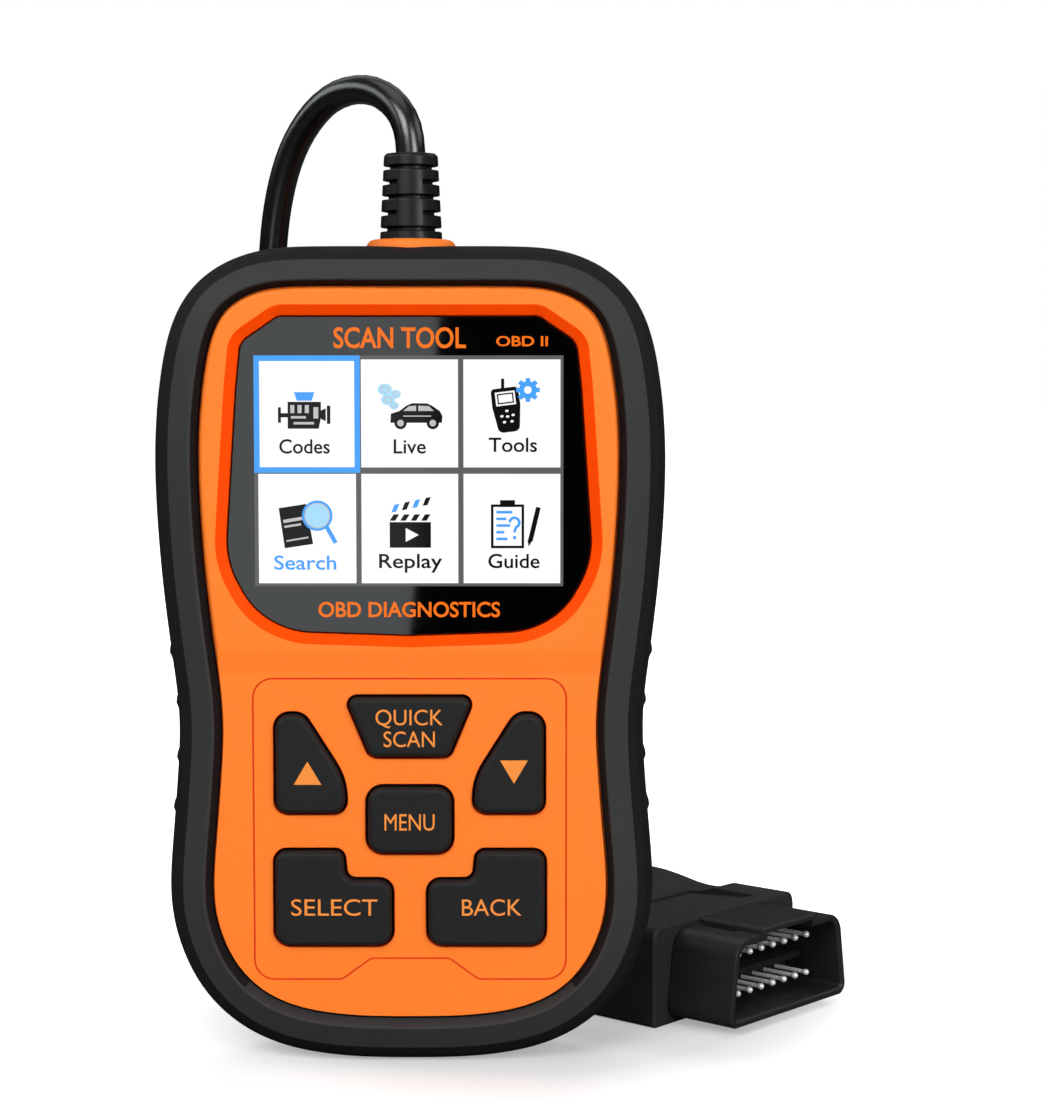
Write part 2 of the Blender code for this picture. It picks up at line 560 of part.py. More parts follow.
def make_cable_exit(materials):
    """The orange collar and the ribbed, tapered sleeve that the lead comes out of."""
    inner = 6.6
    profile = (
        (inner, 151.0), (COLLAR_RADIUS, 151.0), (COLLAR_RADIUS, 155.2), (COLLAR_RADIUS - 0.6, 156.0),
        (COLLAR_RADIUS - 1.6, COLLAR_TOP_Z), (inner, COLLAR_TOP_Z),
    )
    turn = 2.0 * math.pi / 24
    rings = [
        [(r * math.cos(turn * i), r * math.sin(turn * i), z) for r, z in profile] for i in range(24)
    ]
    loft("cable_collar", rings, materials["orange"], closed=True)

    base_z, base_radius, top_radius = 151.0, 6.2, 5.1
    groove_depth, groove_half = 0.9, 0.4
    rings = [sleeve_ring(8.0, 145.0, 0), sleeve_ring(8.0, 148.3, 0), sleeve_ring(5.4, 148.3, 0),
             sleeve_ring(5.4, base_z, 0), sleeve_ring(base_radius, base_z, 1)]
    for groove_z, whole in ((158.3, True), (161.3, False), (164.3, True), (167.1, False), (169.9, True)):
        share = (groove_z - base_z) / (SLEEVE_TOP_Z - base_z)
        radius = base_radius + (top_radius - base_radius) * share
        rings.append(sleeve_ring(radius, groove_z - groove_half, 1))
        rings.append(sleeve_ring(radius - groove_depth, groove_z - groove_half, 1, None if whole else radius))
        rings.append(sleeve_ring(radius - groove_depth, groove_z + groove_half, 1, None if whole else radius))
        rings.append(sleeve_ring(radius, groove_z + groove_half, 1))
    rings.append(sleeve_ring(top_radius, SLEEVE_TOP_Z - 0.5, 1))
    rings.append(sleeve_ring(top_radius - 0.5, SLEEVE_TOP_Z, 1))
    loft("strain_relief", rings, materials["pvc"])


def sleeve_ring(radius, z, eight_sided, bridge_radius=None):
    """A ring of 16 points, round or eight-sided; bridge_radius keeps its front and back faces full."""
    ring = []
    for i in range(8):
        for side in (-1, 1):
            spread = math.pi / 8.0 * (0.78 if eight_sided else 0.5)
            angle = math.pi / 4.0 * i + side * spread
            facing_y = i in (2, 6)
            flat = bridge_radius if bridge_radius and facing_y else radius
            reach = flat / math.cos(spread) if eight_sided else flat
            ring.append((reach * math.cos(angle), reach * math.sin(angle), z))
    return ring


def make_lead(materials):
    """The lead's free stretches, the solid of its coil and the tie that holds the coil."""
    pvc = materials["pvc"]
    tube("cable_lead", LEAD_ROUTE, CABLE_RADIUS, pvc)
    tube("cable_tail", TAIL_ROUTE, CABLE_RADIUS, pvc)
    inner, outer = COIL_RADIUS - COIL_HALF_WIDTH, COIL_RADIUS + COIL_HALF_WIDTH
    bevel = 2.4
    section = (
        (inner + bevel, COIL_LOW_Z), (outer - bevel, COIL_LOW_Z), (outer, COIL_LOW_Z + bevel),
        (outer, COIL_LOW_Z + 4.2), (COIL_RADIUS + 2.4, COIL_HIGH_Z), (COIL_RADIUS - 2.4, COIL_HIGH_Z),
        (inner, COIL_LOW_Z + 4.2), (inner, COIL_LOW_Z + bevel),
    )
    count = 40
    turn = 2.0 * math.pi / count
    x, y = COIL_CENTRE
    rings = [
        [(x + r * math.cos(turn * i), y + r * math.sin(turn * i), z) for r, z in section]
        for i in range(count)
    ]
    loft("cable_coil", rings, pvc, closed=True)

    inside = (inner - GAP - 0.2, outer + GAP + 0.2, COIL_LOW_Z - GAP, COIL_HIGH_Z + GAP)
    outside = (inside[0] - TIE_THICK, inside[1] + TIE_THICK, inside[2] - TIE_THICK, inside[3] + TIE_THICK)
    low = (x - TIE_WIDTH / 2, y + outside[0], outside[2])
    strap = block("cable_tie", low, (x + TIE_WIDTH / 2, y + outside[1], outside[3]), materials["rubber"])
    low = (x - TIE_WIDTH, y + inside[0], inside[2])
    cut(strap, block("cut_tie", low, (x + TIE_WIDTH, y + inside[1], inside[3]), materials["rubber"]))


def across(points, x):
    """An outline in Y and Z at a place along X."""
    return [(x, y, z) for y, z in points]


def shroud_outline(outset, low=SHROUD_LOW_Z, high=SHROUD_HIGH_Z):
    corners = (
        (-SHROUD_HALF_BOTTOM, low), (SHROUD_HALF_BOTTOM, low),
        (SHROUD_HALF_TOP, high), (-SHROUD_HALF_TOP, high),
    )
    return offset_inward(fillet_outline(corners, (2.3, 2.3, 3.2, 3.2), 3), -outset)


def make_plug(materials):
    """The diagnostic plug: moulded body, D-shaped shroud, pin carrier, pins and its own ribbed sleeve."""
    plug, pvc = materials["plug"], materials["pvc"]
    place = bpy.data.objects.new("plug_place", None)
    bpy.context.scene.collection.objects.link(place)
    place.location = Vector(PLUG_PLACE) * MM
    place.rotation_euler = (0.0, 0.0, PLUG_YAW)
    made = [make_plug_body(materials)]

    flange_seat = GAP
    outer = shroud_outline(0.0)
    shroud = loft("plug_shroud", [across(outer, flange_seat), across(outer, SHROUD_LENGTH)], plug)
    high = (SHROUD_LENGTH, PLATEAU_HALF_WIDTH, SHROUD_HIGH_Z + PLATEAU_HEIGHT)
    fuse(shroud, block("plateau", (flange_seat, -PLATEAU_HALF_WIDTH, SHROUD_HIGH_Z - 0.6), high, plug))
    inside = shroud_outline(-SHROUD_WALL)
    cut(shroud, loft("cut_shroud", [across(inside, -1.0), across(inside, SHROUD_LENGTH + 1.0)], plug))
    made.append(shroud)

    carrier_outline = shroud_outline(-SHROUD_WALL - GAP)
    carrier = loft("pin_carrier", [across(carrier_outline, flange_seat), across(carrier_outline, 2.3)], plug)
    middle_z = sum(PIN_ROWS_Z) / 2.0
    fuse(carrier, block("carrier_rib", (1.8, -13.4, middle_z - 0.7), (PIN_TIP_X, 13.4, middle_z + 0.7), plug))
    made.append(carrier)
    for row, z in enumerate(PIN_ROWS_Z):
        for i in range(8):
            made.append(make_pin(8 * row + i + 1, (i - 3.5) * PIN_PITCH, z, materials["pin"]))

    rings = []
    stations = (0.0, 2.6, 2.6, 3.6, 3.6, 6.2, 6.2, 7.2, 7.2, 9.8, 9.8, 10.8, 10.8, PLUG_SLEEVE_LENGTH)
    for i, station in enumerate(stations):
        groove = 0.8 if i % 4 in (2, 3) else 0.0
        radius = 6.0 - 1.5 * station / PLUG_SLEEVE_LENGTH - groove
        x = -PLUG_LENGTH - GAP - station
        rings.append([(x, y, PLUG_AXIS_Z + z) for y, z in circle(radius, 16)])
    made.append(loft("plug_strain_relief", rings[::-1], pvc))
    made += [bpy.data.objects[name] for name in ("plateau", "cut_shroud", "carrier_rib")]
    for obj in made:
        obj.parent = place


def make_plug_body(materials):
    """The overmoulded body: a block at the flange, a dip behind it and a swelling where fingers pull."""
    half, block_end, end = PLUG_HALF_WIDTH, -PLUG_BLOCK_LENGTH, -PLUG_LENGTH
    stations = (
        (0.0, half, PLUG_HEIGHT),
        (block_end, half, PLUG_HEIGHT),
        (block_end - 3.0, half, PLUG_WAIST_HEIGHT + 0.3),
        (block_end - 7.0, half, PLUG_WAIST_HEIGHT),
        (end + 11.0, half, PLUG_GRIP_HEIGHT - 0.8),
        (end + 3.0, half - 0.4, PLUG_GRIP_HEIGHT),
        (end + 0.8, half - 2.6, PLUG_GRIP_HEIGHT - 0.6),
        (end, half - 5.2, PLUG_GRIP_HEIGHT - 2.0),
    )
    rings = []
    for x, width, top in stations:
        corners = ((-width, 0.0), (width, 0.0), (width, top), (-width, top))
        rings.append(across(fillet_outline(corners, (1.0, 1.0, 2.2, 2.2), 3), x))
    return loft("plug_body", rings, materials["plug"])


def make_pin(number, y, z, material):
    """One contact: a flat blade with a tapered tip, seated a little clear of the carrier's face."""
    seat = 2.3 + GAP
    stations = ((seat, 0.7, 0.5), (PIN_TIP_X - 1.2, 0.7, 0.5), (PIN_TIP_X, 0.35, 0.25))
    rings = [
        across(((y - a, z - b), (y + a, z - b), (y + a, z + b), (y - a, z + b)), x)
        for x, a, b in stations
    ]
    return loft(f"plug_pin_{number:02d}", rings, material)


def main():
    clear_scene()
    materials = make_materials()
    make_shells(materials)
    make_bumper(materials)
    make_display(materials)
    make_keypad(materials)
    make_electronics(materials)
    make_cable_exit(materials)
    make_lead(materials)
    make_plug(materials)


main()
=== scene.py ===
"""Looks of the hand-held OBD code reader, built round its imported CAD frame.

Drawings are in millimetres in the row frame: the case stands on z = 0, its face looks towards -Y.
"""

from math import cos, pi, radians, sin, tan
from types import SimpleNamespace

import bmesh
import bpy
from mathutils import Matrix, Vector


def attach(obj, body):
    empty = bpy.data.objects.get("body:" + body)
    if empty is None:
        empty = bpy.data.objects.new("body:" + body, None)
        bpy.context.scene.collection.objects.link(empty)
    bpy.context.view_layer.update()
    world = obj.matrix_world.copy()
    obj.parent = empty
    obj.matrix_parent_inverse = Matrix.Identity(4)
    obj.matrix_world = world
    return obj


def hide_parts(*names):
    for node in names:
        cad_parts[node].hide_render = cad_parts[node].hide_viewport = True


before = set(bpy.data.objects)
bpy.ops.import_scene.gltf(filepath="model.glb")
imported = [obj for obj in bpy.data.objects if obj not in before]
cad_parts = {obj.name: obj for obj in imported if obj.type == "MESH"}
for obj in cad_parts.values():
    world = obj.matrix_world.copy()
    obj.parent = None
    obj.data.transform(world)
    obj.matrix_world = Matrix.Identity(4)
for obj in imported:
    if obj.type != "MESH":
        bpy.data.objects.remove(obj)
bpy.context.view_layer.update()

MM = 0.001
ROOT = "reader"
WHITE = (1.0, 1.0, 1.0, 1.0)

# Camera: its lens, where it stands and the point it looks at
LENS = 78.1
CAMERA_PLACE, CAMERA_AIM = (21.1, -465.0, 130.0), (21.1, -14.0, 96.56)

# Room: how strong its light is at the bottom and at the top
ROOM_LOW, ROOM_HIGH = 0.005, 0.11

# Floor, in metres: it glows more the further it is from a centre, by steps of (from, to, glow, glow)
FLOOR_CORNERS = ((-5.0, -0.62), (5.0, -0.62), (5.0, 9.0), (-5.0, 9.0))
FLOOR_Z = -0.00005
FLOOR_COLOUR = (0.60, 0.61, 0.62, 1.0)
FLOOR_BOUNCE, FLOOR_IN_GLOSS = (0.36, 0.36, 0.36, 1.0), (0.09, 0.09, 0.09, 1.0)
FLOOR_GLOW_CENTRE = (0.02, 0.03, 0.0)
FLOOR_GLOW_STEPS = ((0.047, 0.066, 0.34, 0.56), (0.080, 0.130, 0.0, 0.74))

# Lamps, in metres: name, place, aim, size, power, and whether gloss shows it
LIGHT = 0.49  # share of every lamp's power
CASE_MIDDLE = (0.0, 0.0, 0.09)
LAMPS = (
    ("front_left", (-0.55, -1.25, 0.95), CASE_MIDDLE, (0.9, 0.7), 34.0, True),
    ("front_right", (0.75, -1.15, 0.50), CASE_MIDDLE, (0.6, 0.8), 18.5, True),
    ("top", (0.0, -0.1, 1.3), (0.0, 0.0, 0.0), (1.0, 1.0), 6.0, True),
    ("mouth", (0.80, -0.80, 0.30), (0.075, 0.02, 0.01), (0.40, 0.40), 4.5, True),
    ("back", (0.1, 1.3, 0.9), CASE_MIDDLE, (1.2, 0.7), 32.0, False),
)

# Softboxes that only gloss sees; the window mirrors the glare card, whose edge runs through two points
SOFTBOX_COLOUR = (0.94, 1.0, 1.02, 1.0)
GLARE_EDGE = ((-43.2, 175.9), (-67.0, -70.4))
GLARE_LEFT, GLARE_Y, GLARE_TOP, GLARE_BOTTOM, GLARE_STRENGTH = -700.0, -1450.0, 460.0, -300.0, 1.85
CARDS = (
    ("left_card", 2.8, (
        (-1100.0, -600.0, 450.0), (-1100.0, 500.0, 450.0), (-1000.0, 500.0, 930.0), (-1000.0, -600.0, 930.0),
    )),
    ("right_card", 1.5, (
        (1100.0, -300.0, 500.0), (1100.0, 600.0, 500.0), (1000.0, 600.0, 1000.0), (1000.0, -300.0, 1000.0),
    )),
    ("rear_card", 0.8, (
        (900.0, 1100.0, 1000.0), (-1100.0, 1100.0, 1000.0), (-1100.0, 850.0, 1500.0), (900.0, 850.0, 1500.0),
    )),
)

# Case outline, right half, from top centre to bottom centre, as in the CAD source
HALF_OUTLINE = (
    (0.0, 155.0), (20.0, 155.0), (29.6, 154.3), (39.2, 149.6), (44.7, 141.8), (47.3, 130.0),
    (48.4, 115.4), (47.5, 95.6), (45.6, 78.4), (44.1, 65.9), (45.1, 49.2), (46.4, 31.7),
    (44.3, 21.6), (40.0, 13.0), (32.5, 5.9), (22.5, 1.7), (9.0, 0.0), (0.0, 0.0),
)
CASE_TRIMS = (0.13, -0.04)  # insets are that much smaller along the top and larger along the bottom
OUTLINE_COUNT = 560
NO_TRIMS = (0.0, 0.0)

# Bumper section: inset, depth and fillet; and the grip ridges on its sides
BUMPER_SECTION = (
    (0.0, -4.6, 2.0), (0.0, 5.0, 3.0), (1.0, 10.2, 3.5), (3.8, 12.9, 2.0), (9.2, 13.9, 0.3),
    (9.2, 12.5, 0.05), (4.7, 12.5, 0.05), (4.7, -11.6, 0.05), (8.9, -11.6, 0.05), (8.8, -12.4, 0.25),
    (7.55, -14.95, 0.45), (3.3, -12.5, 0.45), (1.5, -10.6, 0.5), (0.35, -8.4, 1.2),
)
GRIP_HEIGHTS = (78.5, 69.0, 58.7, 49.1)
GRIP_HALF_WIDTH, GRIP_PROUD = 1.1, 0.42

# Shells
DISPLAY_Y, KEYPAD_Y, REAR_Y = -14.0, -13.2, 15.0
CREASE_LOW_Z, CREASE_HIGH_Z = 75.2, 79.6
LAND_INSET, REAR_LAND_INSET, SHELL_INSET = 9.3, 9.5, 5.0
LAND_ROUND, REAR_LAND_ROUND = 0.95, 1.1
RIM_FRONT_Y, RIM_REAR_Y = -11.3, 12.2
LEAD_HOLE = ((5.7, 140.0), (5.7, 156.0))
CASE_SCREWS = ((-33.6, 131.0), (33.6, 131.0), (-32.4, 34.0), (32.4, 34.0))
LABEL_SPAN, LABEL_FACE_Y = (-24.3, 24.3, 49.7, 102.3), 14.8
PRINT_BACK_Y, PRINT_FACE_Y = 14.78, 14.82
VENT_COUNT, VENT_LOW_Z, VENT_PITCH, VENT_HALF_WIDTH, VENT_TALL = 6, 112.0, 3.2, 16.0, 1.2

# Window, its bezel and the screen
WINDOW_Y = -13.0
HALF_WINDOW = (
    (0.0, 141.6), (24.2, 141.6), (31.2, 136.8), (32.1, 128.0), (34.2, 96.0),
    (28.8, 86.4), (21.6, 82.9), (0.0, 82.2),
)
WINDOW_FILLETS = (0.0, 3.0, 3.4, 30.0, 17.0, 14.0, 16.0, 0.0)
BEZEL_WIDTH = 2.2
SCREEN_HALF_W, SCREEN_LOW_Z, SCREEN_HIGH_Z = 28.8, 91.4, 134.4
LAYER = 0.02  # each printed layer stands this far in front of the one below

# Keys: outlines with the fillet of each corner, and the groove round them all
KEY_Y, KEY_ROUND = -14.9, 0.95
OPENING_OUTSET, KEY_INSET = 0.20, 0.28
UP_KEY = ((-25.4, 48.4), (-11.9, 48.4), (-11.9, 55.0), (-19.9, 67.6), (-25.4, 67.6))
UP_FILLETS = (2.5, 2.5, 13.0, 3.2, 2.9)
QUICK_KEY = ((-12.4, 70.8), (-7.5, 59.1), (7.5, 59.1), (12.4, 70.8))
QUICK_FILLETS = (1.7, 2.0, 2.0, 1.7)
MENU_KEY = ((-8.15, 40.8), (8.15, 40.8), (8.15, 53.8), (-8.15, 53.8))
MENU_FILLETS = (3.1, 3.1, 3.1, 3.1)
SELECT_KEY = ((-25.6, 23.2), (-3.2, 23.2), (-3.2, 36.1), (-11.9, 36.1), (-12.4, 41.7), (-25.6, 41.7))
SELECT_FILLETS = (3.0, 3.0, 2.6, 1.9, 1.9, 2.4)
PANEL_HALF = ((29.4, 74.0), (29.4, 16.8), (12.9, 16.8), (7.4, 20.8))
PANEL_FILLETS = (3.7, 3.7, 1.6, 1.6)
GROOVE_SECTION = ((0.19, -1.0), (0.17, 0.0), (0.10, 0.25), (-0.10, 0.25), (-0.17, 0.0), (-0.19, -1.0))
LEGENDS = (  # name, text, cap height, centre, width, key
    ("quick", "QUICK", 3.1, (0.0, 67.0), 12.6, "quick"), ("scan", "SCAN", 3.1, (0.0, 62.9), 9.6, "quick"),
    ("menu", "MENU", 3.3, (0.0, 47.2), 9.4, "menu"), ("select", "SELECT", 3.3, (-14.2, 31.0), 16.2, "select"),
    ("back", "BACK", 3.3, (15.4, 31.0), 11.2, "back"),
)
ARROWS = (("up", -19.1, 54.2, 58.6), ("down", 19.6, 58.8, 54.4))  # key, middle, base height, tip height

# Strain relief, collar and lead
SLEEVE_BASE_Z, SLEEVE_TAPER_Z, SLEEVE_TOP_Z = 150.0, 151.0, 172.6
SLEEVE_BASE_R, SLEEVE_TOP_R = 6.2, 5.1
SLEEVE_GROOVES = ((158.3, True), (161.3, False), (164.3, True), (167.1, False), (169.9, True))
COLLAR_RADIUS, COLLAR_BORE, COLLAR_LOW_Z, COLLAR_TOP_Z, COLLAR_ROUND = 8.5, 6.6, 151.0, 156.4, 1.5
CABLE_RADIUS = 2.8
LEAD_IN_SLEEVE = ((0.0, 0.0, 166.0), (0.0, 0.0, 169.5))
LEAD_ROUTE = (
    (0.0, 0.0, 172.9), (0.0, 0.0, 174.6), (-0.4, 0.3, 178.0), (-3.2, 2.7, 182.6), (-8.6, 7.2, 185.8),
    (-16.6, 13.9, 184.6), (-23.6, 19.8, 176.9), (-27.5, 23.2, 165.6), (-29.2, 25.4, 151.0),
    (-30.2, 27.6, 122.0), (-31.0, 30.0, 88.0), (-32.0, 32.6, 52.0), (-33.4, 36.4, 25.0),
    (-35.8, 44.0, 9.6), (-39.0, 56.0, 4.6), (-42.6, 69.0, 4.3), (-44.4, 79.4, 4.3),
)
COIL_ENTRY = (-44.8, 90.0, 4.3)
COIL_CENTRE = (-13.0, 100.0)
COIL_OUTER_R, COIL_INNER_R, COIL_LOW_Z = 31.8, 26.1, 4.3
COIL_DEGREES, COIL_STEPS = 900.0, 120
TAIL_ROUTE = (
    (16.1, 93.0, 9.6), (16.2, 86.6, 10.1), (16.4, 81.4, 10.2), (16.9, 77.4, 10.2), (17.9, 73.2, 10.2),
    (19.57, 69.68, 10.2), (21.82, 67.70, 10.2), (24.8, 65.08, 10.2),
)
LEAD_POINT_EVERY = 2.4
TIE_GAP, TIE_THICK, TIE_HALF_WIDTH, TIE_LOW_Z, TIE_HIGH_Z = 0.5, 1.2, 3.0, 1.2, 12.4

# Plug, drawn with its nose along +X and its flange's front face at x = 0
PLUG_PLACE = Vector((63.6, 31.0, 0.0))
PLUG_TURN = Matrix.Rotation(radians(-41.3), 3, "Z")
PLUG_AXIS_Z = 10.2
PLUG_STATIONS = (  # flange block, dip and swelling of the moulded body: x, half width, top, bottom
    (0.0, 23.7, 20.0, 0.5), (-0.5, 24.2, 20.5, 0.0), (-14.6, 24.2, 20.5, 0.0), (-15.6, 24.2, 20.2, 0.0),
    (-17.4, 24.2, 19.5, 0.0), (-19.0, 24.2, 19.15, 0.0), (-21.5, 24.2, 19.1, 0.0), (-24.5, 24.2, 19.4, 0.0),
    (-27.5, 24.2, 19.95, 0.0), (-30.5, 24.2, 20.5, 0.0), (-34.0, 24.1, 21.0, 0.0), (-37.0, 23.9, 21.2, 0.0),
    (-38.6, 23.4, 21.1, 0.0), (-39.8, 22.3, 20.6, 0.2), (-40.6, 20.8, 19.9, 0.6), (-41.0, 19.0, 19.2, 1.2),
)
PLUG_FILLETS = (1.0, 1.0, 2.2, 2.2)
HOOD_BACK, HOOD_NOSE = 0.3, 16.0
HOOD_CORNERS = ((-20.5, 1.7), (20.5, 1.7), (18.0, 19.2), (-18.0, 19.2))
HOOD_FILLETS = (2.3, 2.3, 4.4, 4.4)
HOOD_KEY_HALF, HOOD_SLOT_FAR = 9.4, 11.2
PIN_ROWS_Z, PIN_COUNT, PIN_PITCH = (6.3, 14.3), 8, 4.0
PIN_PROFILE = (
    (2.4, 0.46), (9.3, 0.46), (9.55, 0.50), (9.75, 0.60), (10.0, 0.66), (10.3, 0.66), (10.55, 0.56),
    (10.75, 0.36), (10.85, 0.12),
)
PLUG_SLEEVE_START, PLUG_SLEEVE_LENGTH = -41.3, 14.0


# ---- shader nodes


def feed(tree, target, **values):
    """Sets a node's inputs; a value that is another node's socket is linked instead."""
    for name, value in values.items():
        socket = target.inputs[name.replace("_", " ")]
        if isinstance(value, bpy.types.NodeSocket):
            tree.links.new(value, socket)
        else:
            socket.default_value = value


def node(tree, kind, **values):
    made = tree.nodes.new("ShaderNode" + kind)
    feed(tree, made, **values)
    return made


def mixed(tree, share, first, second):
    """The first shader where share is 0, the second where it is 1."""
    mix = node(tree, "MixShader")
    for target, source in zip(mix.inputs, (share, first.outputs[0], second.outputs[0])):
        tree.links.new(source, target)
    return mix


def new_material(name):
    material = bpy.data.materials.new(name)
    material.use_nodes = True
    return material, material.node_tree


# ---- camera, floor and light


def add_object(name, data):
    obj = bpy.data.objects.new(name, data)
    bpy.context.scene.collection.objects.link(obj)
    return obj


def aim_at(obj, place, aim):
    obj.location = place
    obj.rotation_mode = "QUATERNION"
    obj.rotation_quaternion = (Vector(aim) - obj.location).to_track_quat("-Z", "Y")


def add_camera():
    data = bpy.data.cameras.new("camera")
    data.lens = LENS
    data.clip_start, data.clip_end = 0.01, 50.0
    camera = add_object("camera", data)
    aim_at(camera, Vector(CAMERA_PLACE) * MM, Vector(CAMERA_AIM) * MM)
    bpy.context.scene.camera = camera


def add_lamps():
    for name, place, aim, size, power, in_gloss in LAMPS:
        data = bpy.data.lights.new(name, "AREA")
        data.shape = "RECTANGLE"
        data.size, data.size_y = size
        data.energy = power * LIGHT
        lamp = add_object(name, data)
        lamp.visible_glossy = in_gloss
        aim_at(lamp, place, aim)


def add_world():
    """White to the eye; to everything else a dim room with a paler ceiling."""
    world = bpy.data.worlds.new("studio")
    bpy.context.scene.world = world
    world.use_nodes = True
    tree = world.node_tree
    tree.nodes.clear()
    coords = node(tree, "TexCoord")
    split = node(tree, "SeparateXYZ", Vector=coords.outputs["Generated"])
    height = node(tree, "MapRange", Value=split.outputs["Z"], To_Min=ROOM_LOW, To_Max=ROOM_HIGH)
    room = node(tree, "Background", Color=WHITE, Strength=height.outputs[0])
    white = node(tree, "Background", Color=WHITE, Strength=1.0)
    path = node(tree, "LightPath")
    shown = mixed(tree, path.outputs["Is Camera Ray"], room, white)
    node(tree, "OutputWorld", Surface=shown.outputs[0])


def floor_paper():
    """Pale glowing paper to the eye, and duller paper to bounced light and to gloss."""
    material, tree = new_material("floor_paper")
    coords = node(tree, "TexCoord")
    reach = node(tree, "VectorMath")
    reach.operation = "DISTANCE"
    reach.inputs[1].default_value = FLOOR_GLOW_CENTRE
    tree.links.new(coords.outputs["Object"], reach.inputs[0])
    glow = node(tree, "Math")
    for target, (near, far, low, high) in zip(glow.inputs, FLOOR_GLOW_STEPS):
        span = {"From_Min": near, "From_Max": far, "To_Min": low, "To_Max": high}
        sweep = node(tree, "MapRange", Value=reach.outputs["Value"], **span)
        tree.links.new(sweep.outputs[0], target)
    paper = tree.nodes["Principled BSDF"]
    feed(tree, paper, Base_Color=FLOOR_COLOUR, Roughness=0.9, Specular_IOR_Level=0.0)
    feed(tree, paper, Emission_Color=WHITE, Emission_Strength=glow.outputs[0])
    bounce = node(tree, "BsdfDiffuse", Color=FLOOR_BOUNCE)
    gloss = node(tree, "BsdfDiffuse", Color=FLOOR_IN_GLOSS)
    path = node(tree, "LightPath")
    unseen = mixed(tree, path.outputs["Is Glossy Ray"], bounce, gloss)
    shown = mixed(tree, path.outputs["Is Camera Ray"], unseen, paper)
    feed(tree, tree.nodes["Material Output"], Surface=shown.outputs[0])
    return material


def add_stage():
    mesh = bpy.data.meshes.new("floor")
    mesh.from_pydata([(x, y, FLOOR_Z) for x, y in FLOOR_CORNERS], [], [(0, 1, 2, 3)])
    mesh.materials.append(floor_paper())
    add_object("floor", mesh)

    (high_x, high_z), (low_x, low_z) = GLARE_EDGE
    slope = (high_x - low_x) / (high_z - low_z)
    right_top, right_bottom = [high_x + slope * (z - high_z) for z in (GLARE_TOP, GLARE_BOTTOM)]
    left = [(GLARE_LEFT, z) for z in (GLARE_TOP, GLARE_BOTTOM)]
    outline = [(right_top, GLARE_TOP), *left, (right_bottom, GLARE_BOTTOM)]
    add_card("glare_card", GLARE_STRENGTH, [(x, GLARE_Y, z) for x, z in outline])
    for card in CARDS:
        add_card(*card)


def add_card(name, strength, corners):
    mesh = bpy.data.meshes.new(name)
    mesh.from_pydata([Vector(corner) * MM for corner in corners], [], [(0, 1, 2, 3)])
    card = add_object(name, mesh)
    glow, tree = new_material(name + "_glow")
    tree.nodes.clear()
    emission = node(tree, "Emission", Strength=strength, Color=SOFTBOX_COLOUR)
    node(tree, "OutputMaterial", Surface=emission.outputs[0])
    mesh.materials.append(glow)
    card.visible_camera = False
    card.visible_diffuse = False
    card.visible_shadow = False


# ---- materials


def surface(
    name, colour, roughness, specular, grain, mottle, metallic=0.0, mottle_scale=70.0, grain_scale=2600.0,
    rough_spread=0.08, stretch=(1.0, 1.0, 1.0), glow=0.0,
):
    """A moulded or coated surface with uneven colour, uneven gloss and fine grain; glow lights it up."""
    material, tree = new_material(name)
    coords = node(tree, "TexCoord")
    place = node(tree, "Mapping", Vector=coords.outputs["Object"], Scale=stretch).outputs[0]

    blotch = node(tree, "TexNoise", Vector=place, Scale=mottle_scale, Detail=4.0, Roughness=0.6)
    mix = node(tree, "Mix")
    mix.data_type = "RGBA"
    darker = [c * (1.0 - mottle) for c in colour]
    paler = [min(c * (1.0 + mottle), 1.0) for c in colour]
    feed(tree, mix, Factor=blotch.outputs["Fac"], A=(*darker, 1.0), B=(*paler, 1.0))

    gloss = node(
        tree, "TexNoise", Vector=place, Scale=mottle_scale * 4.0, Detail=5.0, Roughness=0.65,
    )
    spread = node(
        tree, "MapRange", Value=gloss.outputs["Fac"], From_Min=0.3, From_Max=0.7,
        To_Min=max(roughness - rough_spread, 0.02), To_Max=min(roughness + rough_spread, 1.0),
    )
    fine = node(tree, "TexNoise", Vector=place, Scale=grain_scale, Detail=2.0, Roughness=0.5)
    bump = node(tree, "Bump", Height=fine.outputs["Fac"], Distance=grain * MM)

    shader = tree.nodes["Principled BSDF"]
    feed(tree, shader, Metallic=metallic, Specular_IOR_Level=specular)
    feed(tree, shader, Roughness=spread.outputs[0], Normal=bump.outputs[0])
    if glow:
        feed(tree, shader, Emission_Color=mix.outputs["Result"], Emission_Strength=glow)
        feed(tree, shader, Base_Color=(0.002, 0.002, 0.002, 1.0))
    else:
        feed(tree, shader, Base_Color=mix.outputs["Result"])
    return material


def add_tracks(material):
    """Slightly raised copper tracks under the board's solder mask, in place of its grain."""
    tree = material.node_tree
    coords = node(tree, "TexCoord")
    cells = node(tree, "TexVoronoi", Vector=coords.outputs["Object"], Scale=260.0)
    cells.distance = "MANHATTAN"
    tracks = node(tree, "Math")
    tracks.operation = "PINGPONG"
    tracks.inputs[1].default_value = 0.08
    tree.links.new(cells.outputs["Distance"], tracks.inputs[0])
    bump = node(tree, "Bump", Height=tracks.outputs[0], Distance=0.05 * MM)
    feed(tree, tree.nodes["Principled BSDF"], Normal=bump.outputs[0])


